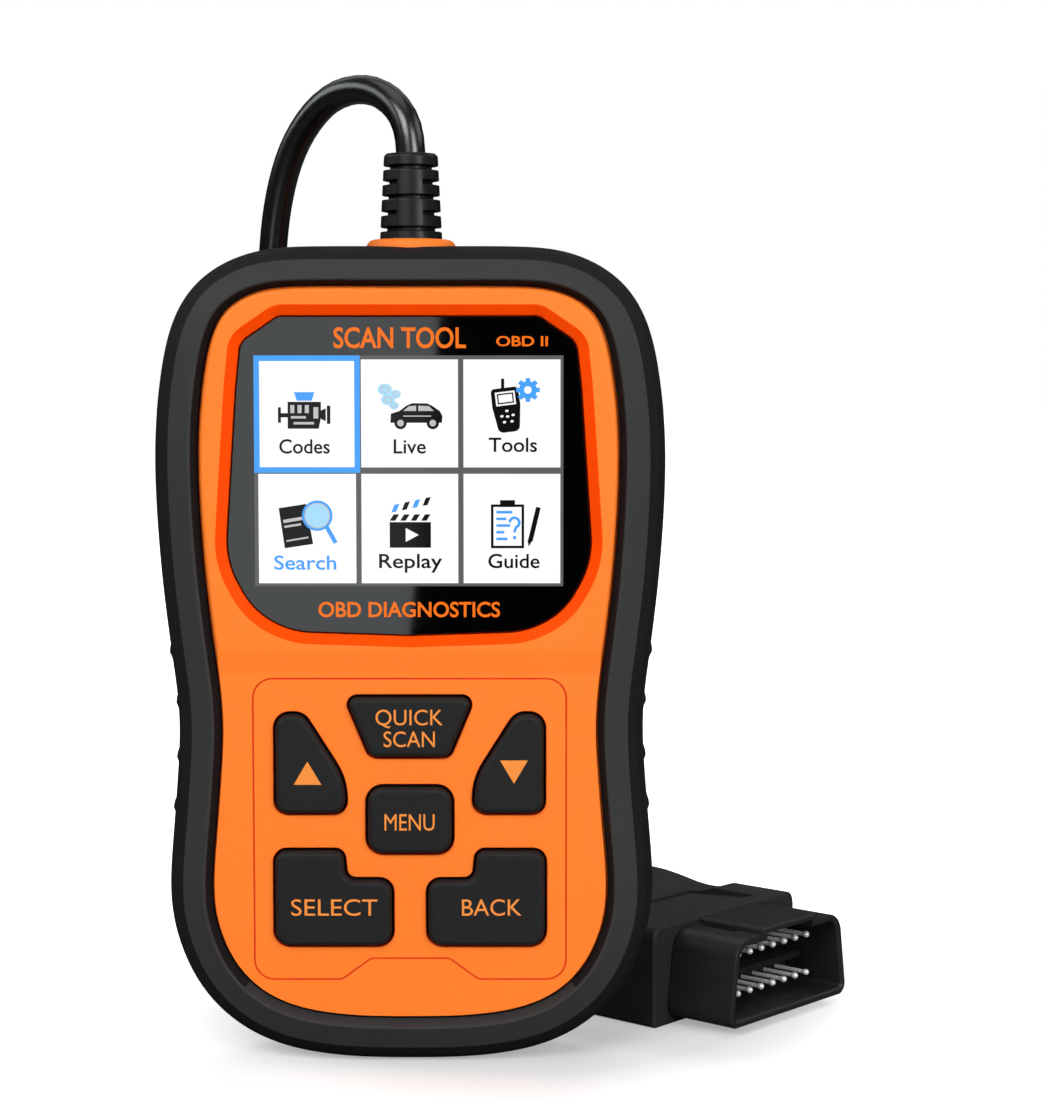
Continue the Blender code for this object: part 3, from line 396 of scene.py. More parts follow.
FINISHES = (  # key, name, colour, roughness, specular level, grain height, mottle, and what else is special
    ("orange", "orange_abs", (0.98, 0.210, 0.020), 0.50, 0.22, 0.012, 0.03, {"mottle_scale": 40.0}),
    # the shell orange made deeper and darker: painted shade on the sloped walls of the window pocket
    ("bezel", "bezel_orange", (1.0, 0.068, 0.0), 0.5, 0.03, 0.008, 0.03, {"mottle_scale": 40.0}),
    # a darker orange: painted shade on the walls of the key groove, the key openings and the screw
    # counterbores
    ("groove", "groove_orange", (0.80, 0.055, 0.006), 0.6, 0.2, 0.008, 0.05, {}),
    ("rubber", "bumper_rubber", (0.031, 0.031, 0.0315), 0.65, 0.22, 0.02, 0.10, {}),
    # a three times darker copy of the bumper rubber: painted shade for the bumper's faces that don't look to
    # the front
    ("rubber_side", "bumper_side_rubber", (0.0098, 0.0098, 0.0101), 0.70, 0.12, 0.03, 0.15, {}),
    ("key", "key_silicone", (0.0100, 0.0102, 0.0107), 0.6, 0.2, 0.01, 0.1, {}),
    ("legend", "legend_ink", (0.86, 0.27, 0.045), 0.5, 0.2, 0.004, 0.12, {"mottle_scale": 900.0}),
    ("pane", "window_gloss", (0.0005, 0.0006, 0.0006), 0.03, 0.5, 0.0, 0.1, {"rough_spread": 0.01}),
    ("ink", "window_ink", (0.86, 0.16, 0.01), 0.12, 0.12, 0.0, 0.1, {
        "mottle_scale": 600.0, "rough_spread": 0.01,
    }),
    ("pvc", "lead_pvc", (0.0022, 0.0022, 0.0025), 0.25, 0.75, 0.003, 0.12, {"rough_spread": 0.03}),
    ("relief", "relief_pvc", (0.0062, 0.0062, 0.0065), 0.36, 0.22, 0.014, 0.12, {}),
    ("plug", "plug_nylon", (0.022, 0.022, 0.0225), 0.55, 0.15, 0.02, 0.12, {"grain_scale": 3200.0}),
    ("hood", "hood_nylon", (0.0155, 0.0155, 0.016), 0.40, 0.26, 0.014, 0.1, {"grain_scale": 3000.0}),
    ("carrier", "carrier_nylon", (0.008, 0.008, 0.0085), 0.5, 0.25, 0.012, 0.1, {}),
    ("tin", "tinned_contact", (0.98, 0.98, 0.97), 0.25, 0.5, 0.0005, 0.06, {
        "metallic": 0.3, "mottle_scale": 500.0,
    }),
    ("steel", "zinc_steel", (0.60, 0.61, 0.63), 0.34, 0.5, 0.004, 0.08, {
        "metallic": 1.0, "stretch": (1, 1, 0.2),
    }),
    ("pressed", "pressed_steel", (0.58, 0.58, 0.58), 0.36, 0.5, 0.004, 0.1, {
        "metallic": 1.0, "stretch": (0.05, 1, 1),
    }),
    ("screen", "panel_glass", (0.62, 0.66, 0.70), 0.12, 0.5, 0.001, 0.05, {}),
    ("film", "amber_film", (0.50, 0.22, 0.03), 0.32, 0.5, 0.004, 0.15, {}),
    ("board", "green_laminate", (0.012, 0.12, 0.05), 0.35, 0.5, 0.02, 0.2, {"grain_scale": 900.0}),
    ("chip", "chip_resin", (0.02, 0.02, 0.021), 0.5, 0.5, 0.02, 0.15, {}),
    ("nylon", "white_nylon", (0.74, 0.71, 0.62), 0.45, 0.5, 0.01, 0.05, {}),
    ("label", "label_foil", (0.55, 0.56, 0.57), 0.35, 0.5, 0.004, 0.04, {"mottle_scale": 200.0}),
    ("print", "label_print", (0.03, 0.03, 0.032), 0.5, 0.5, 0.002, 0.2, {"mottle_scale": 900.0}),
    ("tie", "tie_rubber", (0.016, 0.016, 0.017), 0.55, 0.5, 0.012, 0.1, {}),
)
SCREEN_INKS = (  # key, name, colour, mottle and glow of what the lit screen shows
    ("frame_grey", "screen_lines", (0.12, 0.12, 0.125), 0.15, 1.0),
    ("lit", "screen_lit", (0.97, 0.97, 0.97), 0.03, 1.05),
    ("blue", "screen_blue", (0.07, 0.37, 0.97), 0.05, 1.0),
    ("pale", "screen_pale_blue", (0.40, 0.74, 0.96), 0.05, 1.0),
    ("dark", "screen_dark", (0.004, 0.004, 0.0045), 0.2, 1.0),
    ("shade", "screen_shade", (0.55, 0.55, 0.56), 0.1, 1.0),
)


def make_materials():
    made = {key: surface(*finish, **special) for key, *finish, special in FINISHES}
    add_tracks(made["board"])
    for key, name, colour, mottle, glow in SCREEN_INKS:
        made[key] = surface(name, colour, 0.06, 0.12, 0.0, mottle, rough_spread=0.01, glow=glow)
    return made


# ---- outlines


def rectangle(left, right, low, high):
    return [(left, low), (right, low), (right, high), (left, high)]


def circle(radius, count, centre=(0.0, 0.0)):
    angles = [2.0 * pi / count * i for i in range(count)]
    return [(centre[0] + radius * cos(angle), centre[1] + radius * sin(angle)) for angle in angles]


def smooth_curve(points, steps):
    """Points on a Catmull-Rom curve through the given ones."""
    knots = [Vector(p) for p in points]
    knots = [2 * knots[0] - knots[1]] + knots + [2 * knots[-1] - knots[-2]]
    curve = []
    for a, b, c, d in zip(knots, knots[1:], knots[2:], knots[3:]):
        square, cube = 2 * a - 5 * b + 4 * c - d, 3 * b - a - 3 * c + d
        for t in [step / steps for step in range(steps)]:
            curve.append(0.5 * (2 * b + (c - a) * t + square * t**2 + cube * t**3))
    return curve + [knots[-2]]


def evenly(points, count):
    """The polyline again, with count points an equal way apart."""
    lengths = [0.0]
    for a, b in zip(points, points[1:]):
        lengths.append(lengths[-1] + (b - a).length)
    spaced = []
    segment = 0
    for i in range(count):
        target = lengths[-1] * i / (count - 1)
        while segment < len(points) - 2 and lengths[segment + 1] < target:
            segment += 1
        share = (target - lengths[segment]) / (lengths[segment + 1] - lengths[segment])
        spaced.append(points[segment].lerp(points[segment + 1], min(max(share, 0.0), 1.0)))
    return spaced


def path_length(points):
    return sum((b - a).length for a, b in zip(points, points[1:]))


def relaxed(points, rounds, closed=True):
    """The outline, or the open curve between its fixed ends, with small ripples smoothed away."""
    for _ in range(rounds):
        before, after = points[-1:] + points[:-1], points[1:] + points[:1]
        smooth = [p * 0.5 + (a + b) * 0.25 for p, a, b in zip(points, before, after)]
        points = smooth if closed else [points[0]] + smooth[1:-1] + [points[-1]]
    return points


def make_case_outline():
    half = evenly(smooth_curve(HALF_OUTLINE, 24), OUTLINE_COUNT // 2 + 1)
    half[0].x = half[-1].x = 0.0
    flat = [Vector((p.x, max(p.y, 0.0))) for p in half]
    points = relaxed([Vector((-p.x, p.y)) for p in flat] + flat[-2:0:-1], 60)
    low = min(p.y for p in points)
    return [Vector((p.x, p.y - low)) for p in points]


CASE_OUTLINE = make_case_outline()


def outward_at(points, i):
    along = points[(i + 1) % len(points)] - points[i - 1]
    return Vector((along.y, -along.x)).normalized()


def offset(points, distance, trims=NO_TRIMS):
    """A counter-clockwise outline moved inward by a distance, trimmed along its top and its bottom."""
    moved = []
    for i, point in enumerate(points):
        outward = outward_at(points, i)
        share = 1.0 - trims[0] * max(outward.y, 0.0) - trims[1] * max(-outward.y, 0.0)
        moved.append(point - outward * distance * share)
    return moved


def fillet_outline(corners, fillets, steps):
    """A polygon with each corner rounded by an arc, which gets steps segments."""
    points = []
    for i, corner in enumerate(corners):
        here = Vector(corner)
        before = (Vector(corners[i - 1]) - here).normalized()
        after = (Vector(corners[(i + 1) % len(corners)]) - here).normalized()
        if fillets[i] == 0.0:
            points.append(here)
            continue
        half_angle = before.angle(after) / 2.0
        centre = here + (before + after).normalized() * fillets[i] / sin(half_angle)
        start = here + before * fillets[i] / tan(half_angle) - centre
        end = here + after * fillets[i] / tan(half_angle) - centre
        points += [centre + start.slerp(end, step / steps) * fillets[i] for step in range(steps + 1)]
    return points


def quarter_round(edge, face, wide, deep, steps):
    """Profile points from the edge, deep behind the face, to the face, wide inside the edge."""
    angles = [pi / 2.0 * step / steps for step in range(steps + 1)]
    return [(edge + wide * (1.0 - cos(a)), face + deep * (1.0 - sin(a))) for a in angles]


def flipped(points):
    return [Vector((-p[0], p[1])) for p in reversed(points)]


def window_outline():
    corners = [(-x, z) for x, z in HALF_WINDOW] + [p for p in reversed(HALF_WINDOW) if p[0] > 0.0]
    right = [r for r, p in zip(reversed(WINDOW_FILLETS), reversed(HALF_WINDOW)) if p[0] > 0.0]
    return fillet_outline(corners, list(WINDOW_FILLETS) + right, 14)


def key_outlines():
    up = fillet_outline(UP_KEY, UP_FILLETS, 10)
    select = fillet_outline(SELECT_KEY, SELECT_FILLETS, 10)
    return {
        "up": up,
        "down": flipped(up),
        "quick": fillet_outline(QUICK_KEY, QUICK_FILLETS, 10),
        "menu": fillet_outline(MENU_KEY, MENU_FILLETS, 10),
        "select": select,
        "back": flipped(select),
    }


# ---- meshes


def rings_mesh(rings, closed=False, target=None):
    """A bmesh through rings of equally many points, capped at both ends or closed into a loop."""
    made = target or bmesh.new()
    rows = [[made.verts.new(point) for point in ring] for ring in rings]
    count = len(rings[0])
    for first, second in list(zip(rows, rows[1:])) + ([(rows[-1], rows[0])] if closed else []):
        for i in range(count):
            j = (i + 1) % count
            made.faces.new((first[i], first[j], second[j], second[i]))
    if not closed:
        made.faces.new(rows[0])
        made.faces.new(rows[-1])
    return made


def at_depth(points, y):
    return [(p[0], y, p[1]) for p in points]


def layers_mesh(outline, profile, trims=NO_TRIMS):
    """A solid whose outline is moved inward by each (inset, depth) of its profile."""
    return rings_mesh([at_depth(offset(outline, inset, trims), y) for inset, y in profile])


def case_mesh(profile):
    return layers_mesh(CASE_OUTLINE, profile, CASE_TRIMS)


def strip_mesh(outline, section):
    """A closed strip along an outline, with a section of (inset, depth) points."""
    loops = [(offset(outline, inset), y) for inset, y in section]
    rings = [[(loop[i].x, y, loop[i].y) for loop, y in loops] for i in range(len(outline))]
    return rings_mesh(rings, closed=True)


def prism_mesh(points, y_front, y_back, target=None):
    return rings_mesh([at_depth(points, y_front), at_depth(points, y_back)], target=target)


def box_mesh(low, high, target=None):
    return prism_mesh(rectangle(low[0], high[0], low[2], high[2]), low[1], high[1], target)


def turned_y(centre, profile, count, target=None):
    return rings_mesh([at_depth(circle(r, count, centre), y) for r, y in profile], target=target)


def level_circle(radius, z, count):
    return [(x, y, z) for x, y in circle(radius, count)]


def turned_z(profile, count):
    return rings_mesh([level_circle(r, z, count) for r, z in profile])


def make_object(name, mesh_data, materials):
    """An object from a bmesh in millimetres, its faces outward."""
    bmesh.ops.recalc_face_normals(mesh_data, faces=mesh_data.faces)
    if mesh_data.calc_volume(signed=True) < 0.0:
        bmesh.ops.reverse_faces(mesh_data, faces=mesh_data.faces)
    bmesh.ops.scale(mesh_data, vec=Vector((MM, MM, MM)), verts=mesh_data.verts)
    mesh = bpy.data.meshes.new(name)
    mesh_data.to_mesh(mesh)
    mesh_data.free()
    for material in materials:
        mesh.materials.append(material)
    return add_object(name, mesh)


def tool(mesh_data, *materials):
    """A cutter, whose material its cut faces take."""
    return make_object("tool", mesh_data, materials)


def cut(obj, cutters, operation="DIFFERENCE"):
    """Booleans a finished object with one cutter after the other, and drops the cutters."""
    for cutter in cutters:
        modifier = obj.modifiers.new("cut", "BOOLEAN")
        modifier.operation = operation
        modifier.solver = "EXACT"
        modifier.object = cutter
        graph = bpy.context.evaluated_depsgraph_get()
        mesh = bpy.data.meshes.new_from_object(obj.evaluated_get(graph))
        obj.modifiers.remove(modifier)
        obj.data = mesh
        bpy.data.objects.remove(cutter)


def add_weighted_normals(obj, angle):
    obj.data.shade_smooth()
    obj.data.set_sharp_from_angle(angle=radians(angle))
    modifier = obj.modifiers.new("weighted_normals", "WEIGHTED_NORMAL")
    modifier.keep_sharp = True
    modifier.weight = 80


def settle(obj, body, stands_for):
    if stands_for:
        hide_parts(*stands_for)
    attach(obj, body)


def piece(name, mesh_data, materials, stands_for=(), body=ROOT, sharp=38.0, joined=(), cutters=()):
    """A piece on a CAD body, with what is joined to it and cut from it; edges over sharp degrees are hard."""
    obj = make_object(name, mesh_data, materials)
    cut(obj, joined, "UNION")
    cut(obj, cutters)
    if sharp:
        add_weighted_normals(obj, sharp)
    settle(obj, body, stands_for)
    return obj


def words(name, text, cap_height, centre, y, material, body=ROOT, width=None, back=False, bold=0.0):
    """Lettering as a thin raised mesh that faces -Y, or +Y when back is set."""
    thick, cap_units = 0.02, 0.729
    curve = bpy.data.curves.new(name, "FONT")
    curve.body = text
    curve.size = 1.0
    curve.resolution_u = 5
    curve.extrude = thick
    curve.offset = bold
    holder = add_object(name + "_holder", curve)
    graph = bpy.context.evaluated_depsgraph_get()
    mesh = bpy.data.meshes.new_from_object(holder.evaluated_get(graph))
    bpy.data.objects.remove(holder)
    left = min(v.co.x for v in mesh.vertices)
    right = max(v.co.x for v in mesh.vertices)
    stretch_z = cap_height / cap_units
    stretch_x = width / (right - left) if width else stretch_z
    side = -1.0 if back else 1.0
    for vertex in mesh.vertices:
        x = centre[0] + side * (vertex.co.x - (right + left) / 2.0) * stretch_x
        z = centre[1] + (vertex.co.y - cap_units / 2.0) * stretch_z
        vertex.co = Vector((x, y - side * (vertex.co.z - thick), z)) * MM
    mesh.materials.clear()
    mesh.materials.append(material)
    mesh.update()
    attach(add_object(name, mesh), body)


# ---- lead


def eased(value, start, end):
    t = min(max((value - start) / (end - start), 0.0), 1.0)
    return t * t * (3.0 - 2.0 * t)


def coil_points():
    """Two turns side by side on the floor, then half a turn on top of them, clockwise from the left side."""
    pitch = COIL_OUTER_R - COIL_INNER_R
    points = []
    for step in range(COIL_STEPS + 1):
        turned = COIL_DEGREES * step / COIL_STEPS
        angle = radians(180.0 - turned)
        radius = COIL_OUTER_R - pitch * eased(turned, 268.0, 335.0)
        height = COIL_LOW_Z
        climb = eased(turned, 560.0, 622.0)
        if climb > 0.0:
            lift = radians(62.0) * climb
            radius = COIL_OUTER_R - pitch * cos(lift)
            hump = eased(turned, 560.0, 625.0) * (1.0 - eased(turned, 700.0, 735.0))
            height += pitch * sin(lift) + hump
        x, y = COIL_CENTRE
        points.append(Vector((x + radius * cos(angle), y + radius * sin(angle), height)))
    return points


def add_lead(materials, with_pieces):
    curve = bpy.data.curves.new("lead", "CURVE")
    curve.dimensions = "3D"
    curve.bevel_depth = CABLE_RADIUS * MM
    curve.bevel_resolution = 7
    curve.use_fill_caps = True
    coil = coil_points()
    start = smooth_curve(LEAD_IN_SLEEVE + LEAD_ROUTE + (COIL_ENTRY,), 8)
    end = smooth_curve([coil[-1], *TAIL_ROUTE], 5)
    points = start + coil[:-1] + end
    points = evenly(points, int(path_length(points) / LEAD_POINT_EVERY))
    points = relaxed(points, 3, closed=False)
    spline = curve.splines.new("POLY")
    spline.points.add(len(points) - 1)
    for target, point in zip(spline.points, points):
        target.co = (*(point * MM), 1.0)
    spline.use_smooth = True
    curve.materials.append(materials["pvc"])
    lead = add_object("lead", curve)
    settle(lead, ROOT, ("cable_lead", "cable_coil", "cable_tail"))


def add_tie(materials):
    """A soft strap that goes once round the coil's turns and stands on the floor under them."""
    x, y = COIL_CENTRE
    near = y + COIL_INNER_R - CABLE_RADIUS - TIE_GAP
    far = y + COIL_OUTER_R + CABLE_RADIUS + TIE_GAP
    inside = fillet_outline(rectangle(near, far, TIE_LOW_Z, TIE_HIGH_Z), (2.6, 2.6, 4.4, 4.4), 8)
    wide, narrow = TIE_HALF_WIDTH, TIE_HALF_WIDTH - 0.3
    rings = []
    for inner, outer in zip(inside, offset(inside, -TIE_THICK)):
        section = ((-wide, inner), (-narrow, outer), (narrow, outer), (wide, inner))
        rings.append([(x + across, p.x, max(p.y, 0.0)) for across, p in section])
    return piece(
        "lead_tie", rings_mesh(rings, closed=True), [materials["tie"]], ("cable_tie",),
    )


# ---- plug


def plug_mesh(sections, target=None):
    """A solid through (x, outline) sections of the plug, where the plug lies."""
    rings = [[PLUG_TURN @ Vector((x, y, z)) + PLUG_PLACE for y, z in outline] for x, outline in sections]
    return rings_mesh(rings, target=target)


def hood_outline(outset):
    """The hood's outline, with slanting sides that move out evenly."""
    low, high = 20.5 + outset * 1.15, 18.0 + outset * 0.87
    bottom, top = HOOD_CORNERS[0][1] - outset, HOOD_CORNERS[2][1] + outset
    fillets = [max(radius + outset, 0.3) for radius in HOOD_FILLETS]
    return fillet_outline(((-low, bottom), (low, bottom), (high, top), (-high, top)), fillets, 8)


def hood_sections(*sections):
    return [(x, hood_outline(outset)) for x, outset in sections]


def add_shell(materials):
    """The moulded body, with a sloping recess in its top."""
    body = []
    for x, half, high, low in PLUG_STATIONS:
        body.append((x, fillet_outline(rectangle(-half, half, low, high), PLUG_FILLETS, 6)))
    slope = ((-21.0, 18.55), (-13.8, 19.25), (-4.0, 19.85))
    recess = [(x, rectangle(-27.5, 14.8, z, 22.7)) for x, z in slope]
    return piece(
        "plug_shell", plug_mesh(body), [materials["plug"]], ("plug_body",), sharp=30.0,
        cutters=[tool(plug_mesh(recess))],
    )


def add_hood(materials):
    """A D-shaped shroud with a raised key along the middle of its top and a slot beside it on each side."""
    nose, half = HOOD_NOSE, HOOD_KEY_HALF
    outer = hood_sections((HOOD_BACK, 0.0), (nose - 0.4, 0.0), (nose - 0.12, -0.12), (nose, -0.4))
    key = [
        (x, fillet_outline(rectangle(-half, half, 17.6, 20.4 - trim), (0.2, 0.2, 0.7, 0.7), 5))
        for x, trim in ((HOOD_BACK, 0.0), (nose - 0.35, 0.0), (nose, 0.35))
    ]
    mouth = hood_sections((-1.0, -1.5), (nose - 0.4, -1.5), (nose + 0.05, -1.05))
    under_key = [(x, rectangle(-8.0, 8.0, 16.5, 19.3)) for x in (9.0, nose + 0.1)]
    slots = [
        [(x, rectangle(left, right, 18.0, 20.0)) for x in (1.6, 10.4)]
        for left, right in ((-HOOD_SLOT_FAR, -half), (half, HOOD_SLOT_FAR))
    ]
    cutters = [tool(plug_mesh(shape)) for shape in (mouth, under_key, *slots)]
    return piece(
        "plug_hood", plug_mesh(outer), [materials["hood"]], ("plug_shroud",), sharp=30.0,
        joined=[tool(plug_mesh(key))], cutters=cutters,
    )


def add_carrier(materials):
    """The plate that holds the contacts, with a tongue between their rows."""
    plate = hood_sections((HOOD_BACK, -1.8), (2.0, -1.8), (2.3, -2.1))
    middle = sum(PIN_ROWS_Z) / 2.0
    tongue = [
        (x, fillet_outline(rectangle(-half, half, middle - thick, middle + thick), (0.35,) * 4, 4))
        for x, half, thick in ((1.8, 13.4, 0.9), (8.2, 13.4, 0.8), (9.2, 13.1, 0.6), (9.4, 12.8, 0.4))
    ]
    return piece(
        "plug_carrier", plug_mesh(plate), [materials["carrier"]], ("pin_carrier",), sharp=30.0,
        joined=[tool(plug_mesh(tongue))],
    )


def add_contacts(materials):
    contacts = bmesh.new()
    for row_z in PIN_ROWS_Z:
        for i in range(PIN_COUNT):
            centre = ((i - (PIN_COUNT - 1) / 2.0) * PIN_PITCH, row_z)
            plug_mesh([(x, circle(radius, 16, centre)) for x, radius in PIN_PROFILE], target=contacts)
    pins = [f"plug_pin_{number:02d}" for number in range(1, 2 * PIN_COUNT + 1)]
    return piece("plug_contacts", contacts, [materials["tin"]], pins)


def add_plug_sleeve(materials):
    """A tapered sleeve with ring grooves and a rounded end."""
    sections = []
    length, steps, end_round = PLUG_SLEEVE_LENGTH, 90, 0.6
    for step in range(steps + 1):
        along = length * step / steps
        radius = 6.0 - 1.5 * along / length
        from_groove = abs((along - 1.5) / 2.5 % 1.0 - 0.5) / 0.2
        if 1.0 < along < length - 1.2 and from_groove < 1.0:
            radius -= 0.8 * (1.0 - from_groove) ** 0.5
        if along > length - end_round:
            radius -= 0.4 * ((along - length + end_round) / end_round) ** 2
        sections.append((PLUG_SLEEVE_START - along, circle(radius, 40, (0.0, PLUG_AXIS_Z))))
    return piece(
        "plug_sleeve", plug_mesh(sections), [materials["relief"]], ("plug_strain_relief",),
    )


# ---- case


def add_bumper(materials):
    profile = fillet_outline([c[:2] for c in BUMPER_SECTION], [c[2] for c in BUMPER_SECTION], 5)
    outlines = [offset(CASE_OUTLINE, p.x, CASE_TRIMS) for p in profile]
    rings = []
    for i, here in enumerate(CASE_OUTLINE):
        outward = outward_at(CASE_OUTLINE, i)
        points = [(outline[i] + outward * grip(here, p), p.y) for p, outline in zip(profile, outlines)]
        rings.append([(point.x, y, point.y) for point, y in points])
    sleeve = rings_mesh(rings, closed=True)
    # the second material is the darker copy that paints shade on the faces that don't look to the front
    bumper = make_object("bumper_sleeve", sleeve, [materials["rubber"], materials["rubber_side"]])
    paint_shade_by_slope(bumper)
    collar_hole = ((COLLAR_RADIUS + 0.25, 144.0), (COLLAR_RADIUS + 0.25, 160.0))
    cut(bumper, [tool(turned_z(collar_hole, 96))])
    add_weighted_normals(bumper, 40.0)
    settle(bumper, ROOT, ("bumper",))


def paint_shade_by_slope(bumper):
    """The bevelled front is smoother than the textured sides, the back and the lip's inner slope; these take
    a three times darker copy of the rubber, which paints shade on the faces that don't look to the front.
    """
    for face in bumper.data.polygons:
        y = face.center.y / MM
        face.material_index = 0 if face.normal.y < -0.45 and -15.8 < y < -11.8 else 1


def grip(here, profile_point):
    """How far the rubber stands proud in a grip ridge on the side wall."""
    if abs(here.x) < 30.0 or profile_point.x >= 3.2:
        return 0.0
    near = min(abs(here.y - z) for z in GRIP_HEIGHTS) / GRIP_HALF_WIDTH
    if near >= 1.0:
        return 0.0
    reach = min(max((9.5 - abs(profile_point.y + 0.5)) / 2.0, 0.0), 1.0)
    return GRIP_PROUD * (1.0 - near * near) * reach


def add_front(materials):
    """Orange front shell: rounded land, sloped bezel, crease, groove and key openings with broken edges;
    darker oranges paint the shade on the bezel and in the groove and the openings.
    """
    # the darker orange of painted shade for the groove and the key openings
    groove_orange = materials["groove"]
    profile = [(SHELL_INSET, -0.2), (SHELL_INSET, -10.9), (SHELL_INSET + 0.4, RIM_FRONT_Y)]
    profile += [(LAND_INSET, RIM_FRONT_Y), *quarter_round(LAND_INSET, DISPLAY_Y, LAND_ROUND, LAND_ROUND, 8)]

    # hollow behind the face
    cutters = [tool(case_mesh(((7.0, 0.2), (7.0, -9.3), (11.3, -9.3), (11.3, -10.0))))]

    # keypad section lies lower: a wedge takes it down, with a soft crease
    lift = DISPLAY_Y - 0.02
    wedge = (
        (KEYPAD_Y, -5.0), (KEYPAD_Y, CREASE_LOW_Z - 0.8), (KEYPAD_Y - 0.04, CREASE_LOW_Z),
        (lift + 0.06, CREASE_HIGH_Z - 0.3), (lift, CREASE_HIGH_Z + 0.6),
        (DISPLAY_Y - 3.0, CREASE_HIGH_Z + 0.6), (DISPLAY_Y - 3.0, -5.0),
    )
    cutters.append(tool(rings_mesh([[(x, y, z) for y, z in wedge] for x in (-60.0, 60.0)])))

    # window pocket with its sloped bezel, whose walls take the deeper orange of painted shade, and the
    # opening for the screen
    pocket = (
        (-0.25, -11.0), (-0.25, WINDOW_Y + 0.12), (-0.35, WINDOW_Y), (0.12 - BEZEL_WIDTH, DISPLAY_Y + 0.06),
        (-BEZEL_WIDTH - 0.1, DISPLAY_Y - 0.03), (-BEZEL_WIDTH - 0.1, DISPLAY_Y - 1.0),
    )
    cutters.append(tool(layers_mesh(window_outline(), pocket), materials["bezel"]))
    cutters.append(tool(box_mesh((-30.0, -12.0, 90.0), (30.0, -9.0, 136.0))))

    # fine groove round the keys, its walls in the darker orange of painted shade
    corners = [(-x, z) for x, z in PANEL_HALF] + list(reversed(PANEL_HALF))
    line = fillet_outline(corners, PANEL_FILLETS + PANEL_FILLETS[::-1], 8)
    section = [(inset, KEYPAD_Y + depth) for inset, depth in GROOVE_SECTION]
    cutters.append(tool(strip_mesh(line, section), groove_orange))

    out = -OPENING_OUTSET
    lip = ((out, -9.0), (out, KEYPAD_Y + 0.12), (out - 0.12, KEYPAD_Y), (out - 0.14, KEYPAD_Y - 1.0))
    # the key openings' walls take the darker orange of painted shade
    cutters += [tool(layers_mesh(outline, lip), groove_orange) for outline in key_outlines().values()]
    cutters.append(tool(turned_z(LEAD_HOLE, 48)))
    piece(
        "front_face", case_mesh(profile), [materials["orange"], materials["bezel"], groove_orange],
        ("front_shell",), sharp=30.0, cutters=cutters,
    )


def add_rear(materials):
    """Orange rear shell with a label recess, screw counterbores and vent slots."""
    profile = [(SHELL_INSET, 0.2), (SHELL_INSET, 11.8), (SHELL_INSET + 0.4, RIM_REAR_Y)]
    profile.append((REAR_LAND_INSET, RIM_REAR_Y))
    profile += quarter_round(REAR_LAND_INSET, REAR_Y, REAR_LAND_ROUND, -REAR_LAND_ROUND, 8)
    cutters = [tool(case_mesh(((7.0, 0.1), (7.0, 10.2), (11.5, 10.2), (11.5, 12.8))))]
    label = fillet_outline(rectangle(*LABEL_SPAN), (2.2,) * 4, 8)
    lip = ((0.0, 14.45), (0.0, 14.75), (-0.25, REAR_Y), (-0.35, REAR_Y + 0.2))
    cutters.append(tool(layers_mesh(label, lip)))
    bore = ((2.6, 10.9), (2.6, REAR_Y - 0.35), (2.95, REAR_Y), (3.1, REAR_Y + 0.2))
    # the counterbores' walls take the darker orange of painted shade
    cutters += [tool(turned_y(centre, bore, 40), materials["groove"]) for centre in CASE_SCREWS]
    lip = ((0.12, REAR_Y - 0.45), (0.0, REAR_Y - 0.2), (-0.1, REAR_Y), (-0.15, REAR_Y + 0.2))
    for number in range(VENT_COUNT):
        low = VENT_LOW_Z + VENT_PITCH * number
        vent = rectangle(-VENT_HALF_WIDTH, VENT_HALF_WIDTH, low, low + VENT_TALL)
        cutters.append(tool(layers_mesh(fillet_outline(vent, (0.55,) * 4, 6), lip)))
    cutters.append(tool(turned_z(LEAD_HOLE, 48)))
    piece(
        "rear_face", case_mesh(profile), [materials["orange"], materials["groove"]],
        ("rear_shell",), sharp=30.0, cutters=cutters,
    )
    add_label(materials, offset(label, 0.3))


def add_label(materials, outline):
    """A foil plate in its recess with a printed border, two lines of words and five ruled lines."""
    profile = ((0.0, 14.5), (0.0, LABEL_FACE_Y - 0.05), (0.08, LABEL_FACE_Y))
    piece("label_plate", layers_mesh(outline, profile), [materials["label"]], ("rear_label",))
    ink = materials["print"]
    border = [(1.6, PRINT_BACK_Y), (1.6, PRINT_FACE_Y), (1.95, PRINT_FACE_Y), (1.95, PRINT_BACK_Y)]
    piece("label_border", strip_mesh(outline, border), [ink], sharp=None)
    words("label_title", "CODE READER", 3.2, (0.0, 92.0), 14.83, ink, back=True, bold=0.012)
    words("label_power", "12 V DC", 2.6, (0.0, 85.6), 14.83, ink, back=True)
    lines = bmesh.new()
    for low in [60.0 + 4.4 * number for number in range(5)]:
        box_mesh((-15.0, PRINT_BACK_Y, low), (15.0, PRINT_FACE_Y, low + 0.35), lines)
    piece("label_lines", lines, [ink], sharp=None)


def add_case_screws(materials):
    """Four cross-head screws, in one piece."""
    heads = bmesh.new()
    cutters = []
    profile = (
        (1.1, -6.0), (1.1, 10.95), (2.2, 10.95), (2.2, 11.9), (2.05, 12.3), (1.7, 12.6), (1.2, 12.78),
        (0.7, 12.82),
    )
    for x, z in CASE_SCREWS:
        turned_y((x, z), profile, 24, heads)
        for wide, tall in ((1.5, 0.34), (0.34, 1.5)):
            cutters.append(tool(box_mesh((x - wide, 12.0, z - tall), (x + wide, 13.5, z + tall))))
    names = [f"case_screw_{number}" for number in range(1, len(CASE_SCREWS) + 1)]
    piece("case_screws", heads, [materials["steel"]], names, sharp=30.0, cutters=cutters)


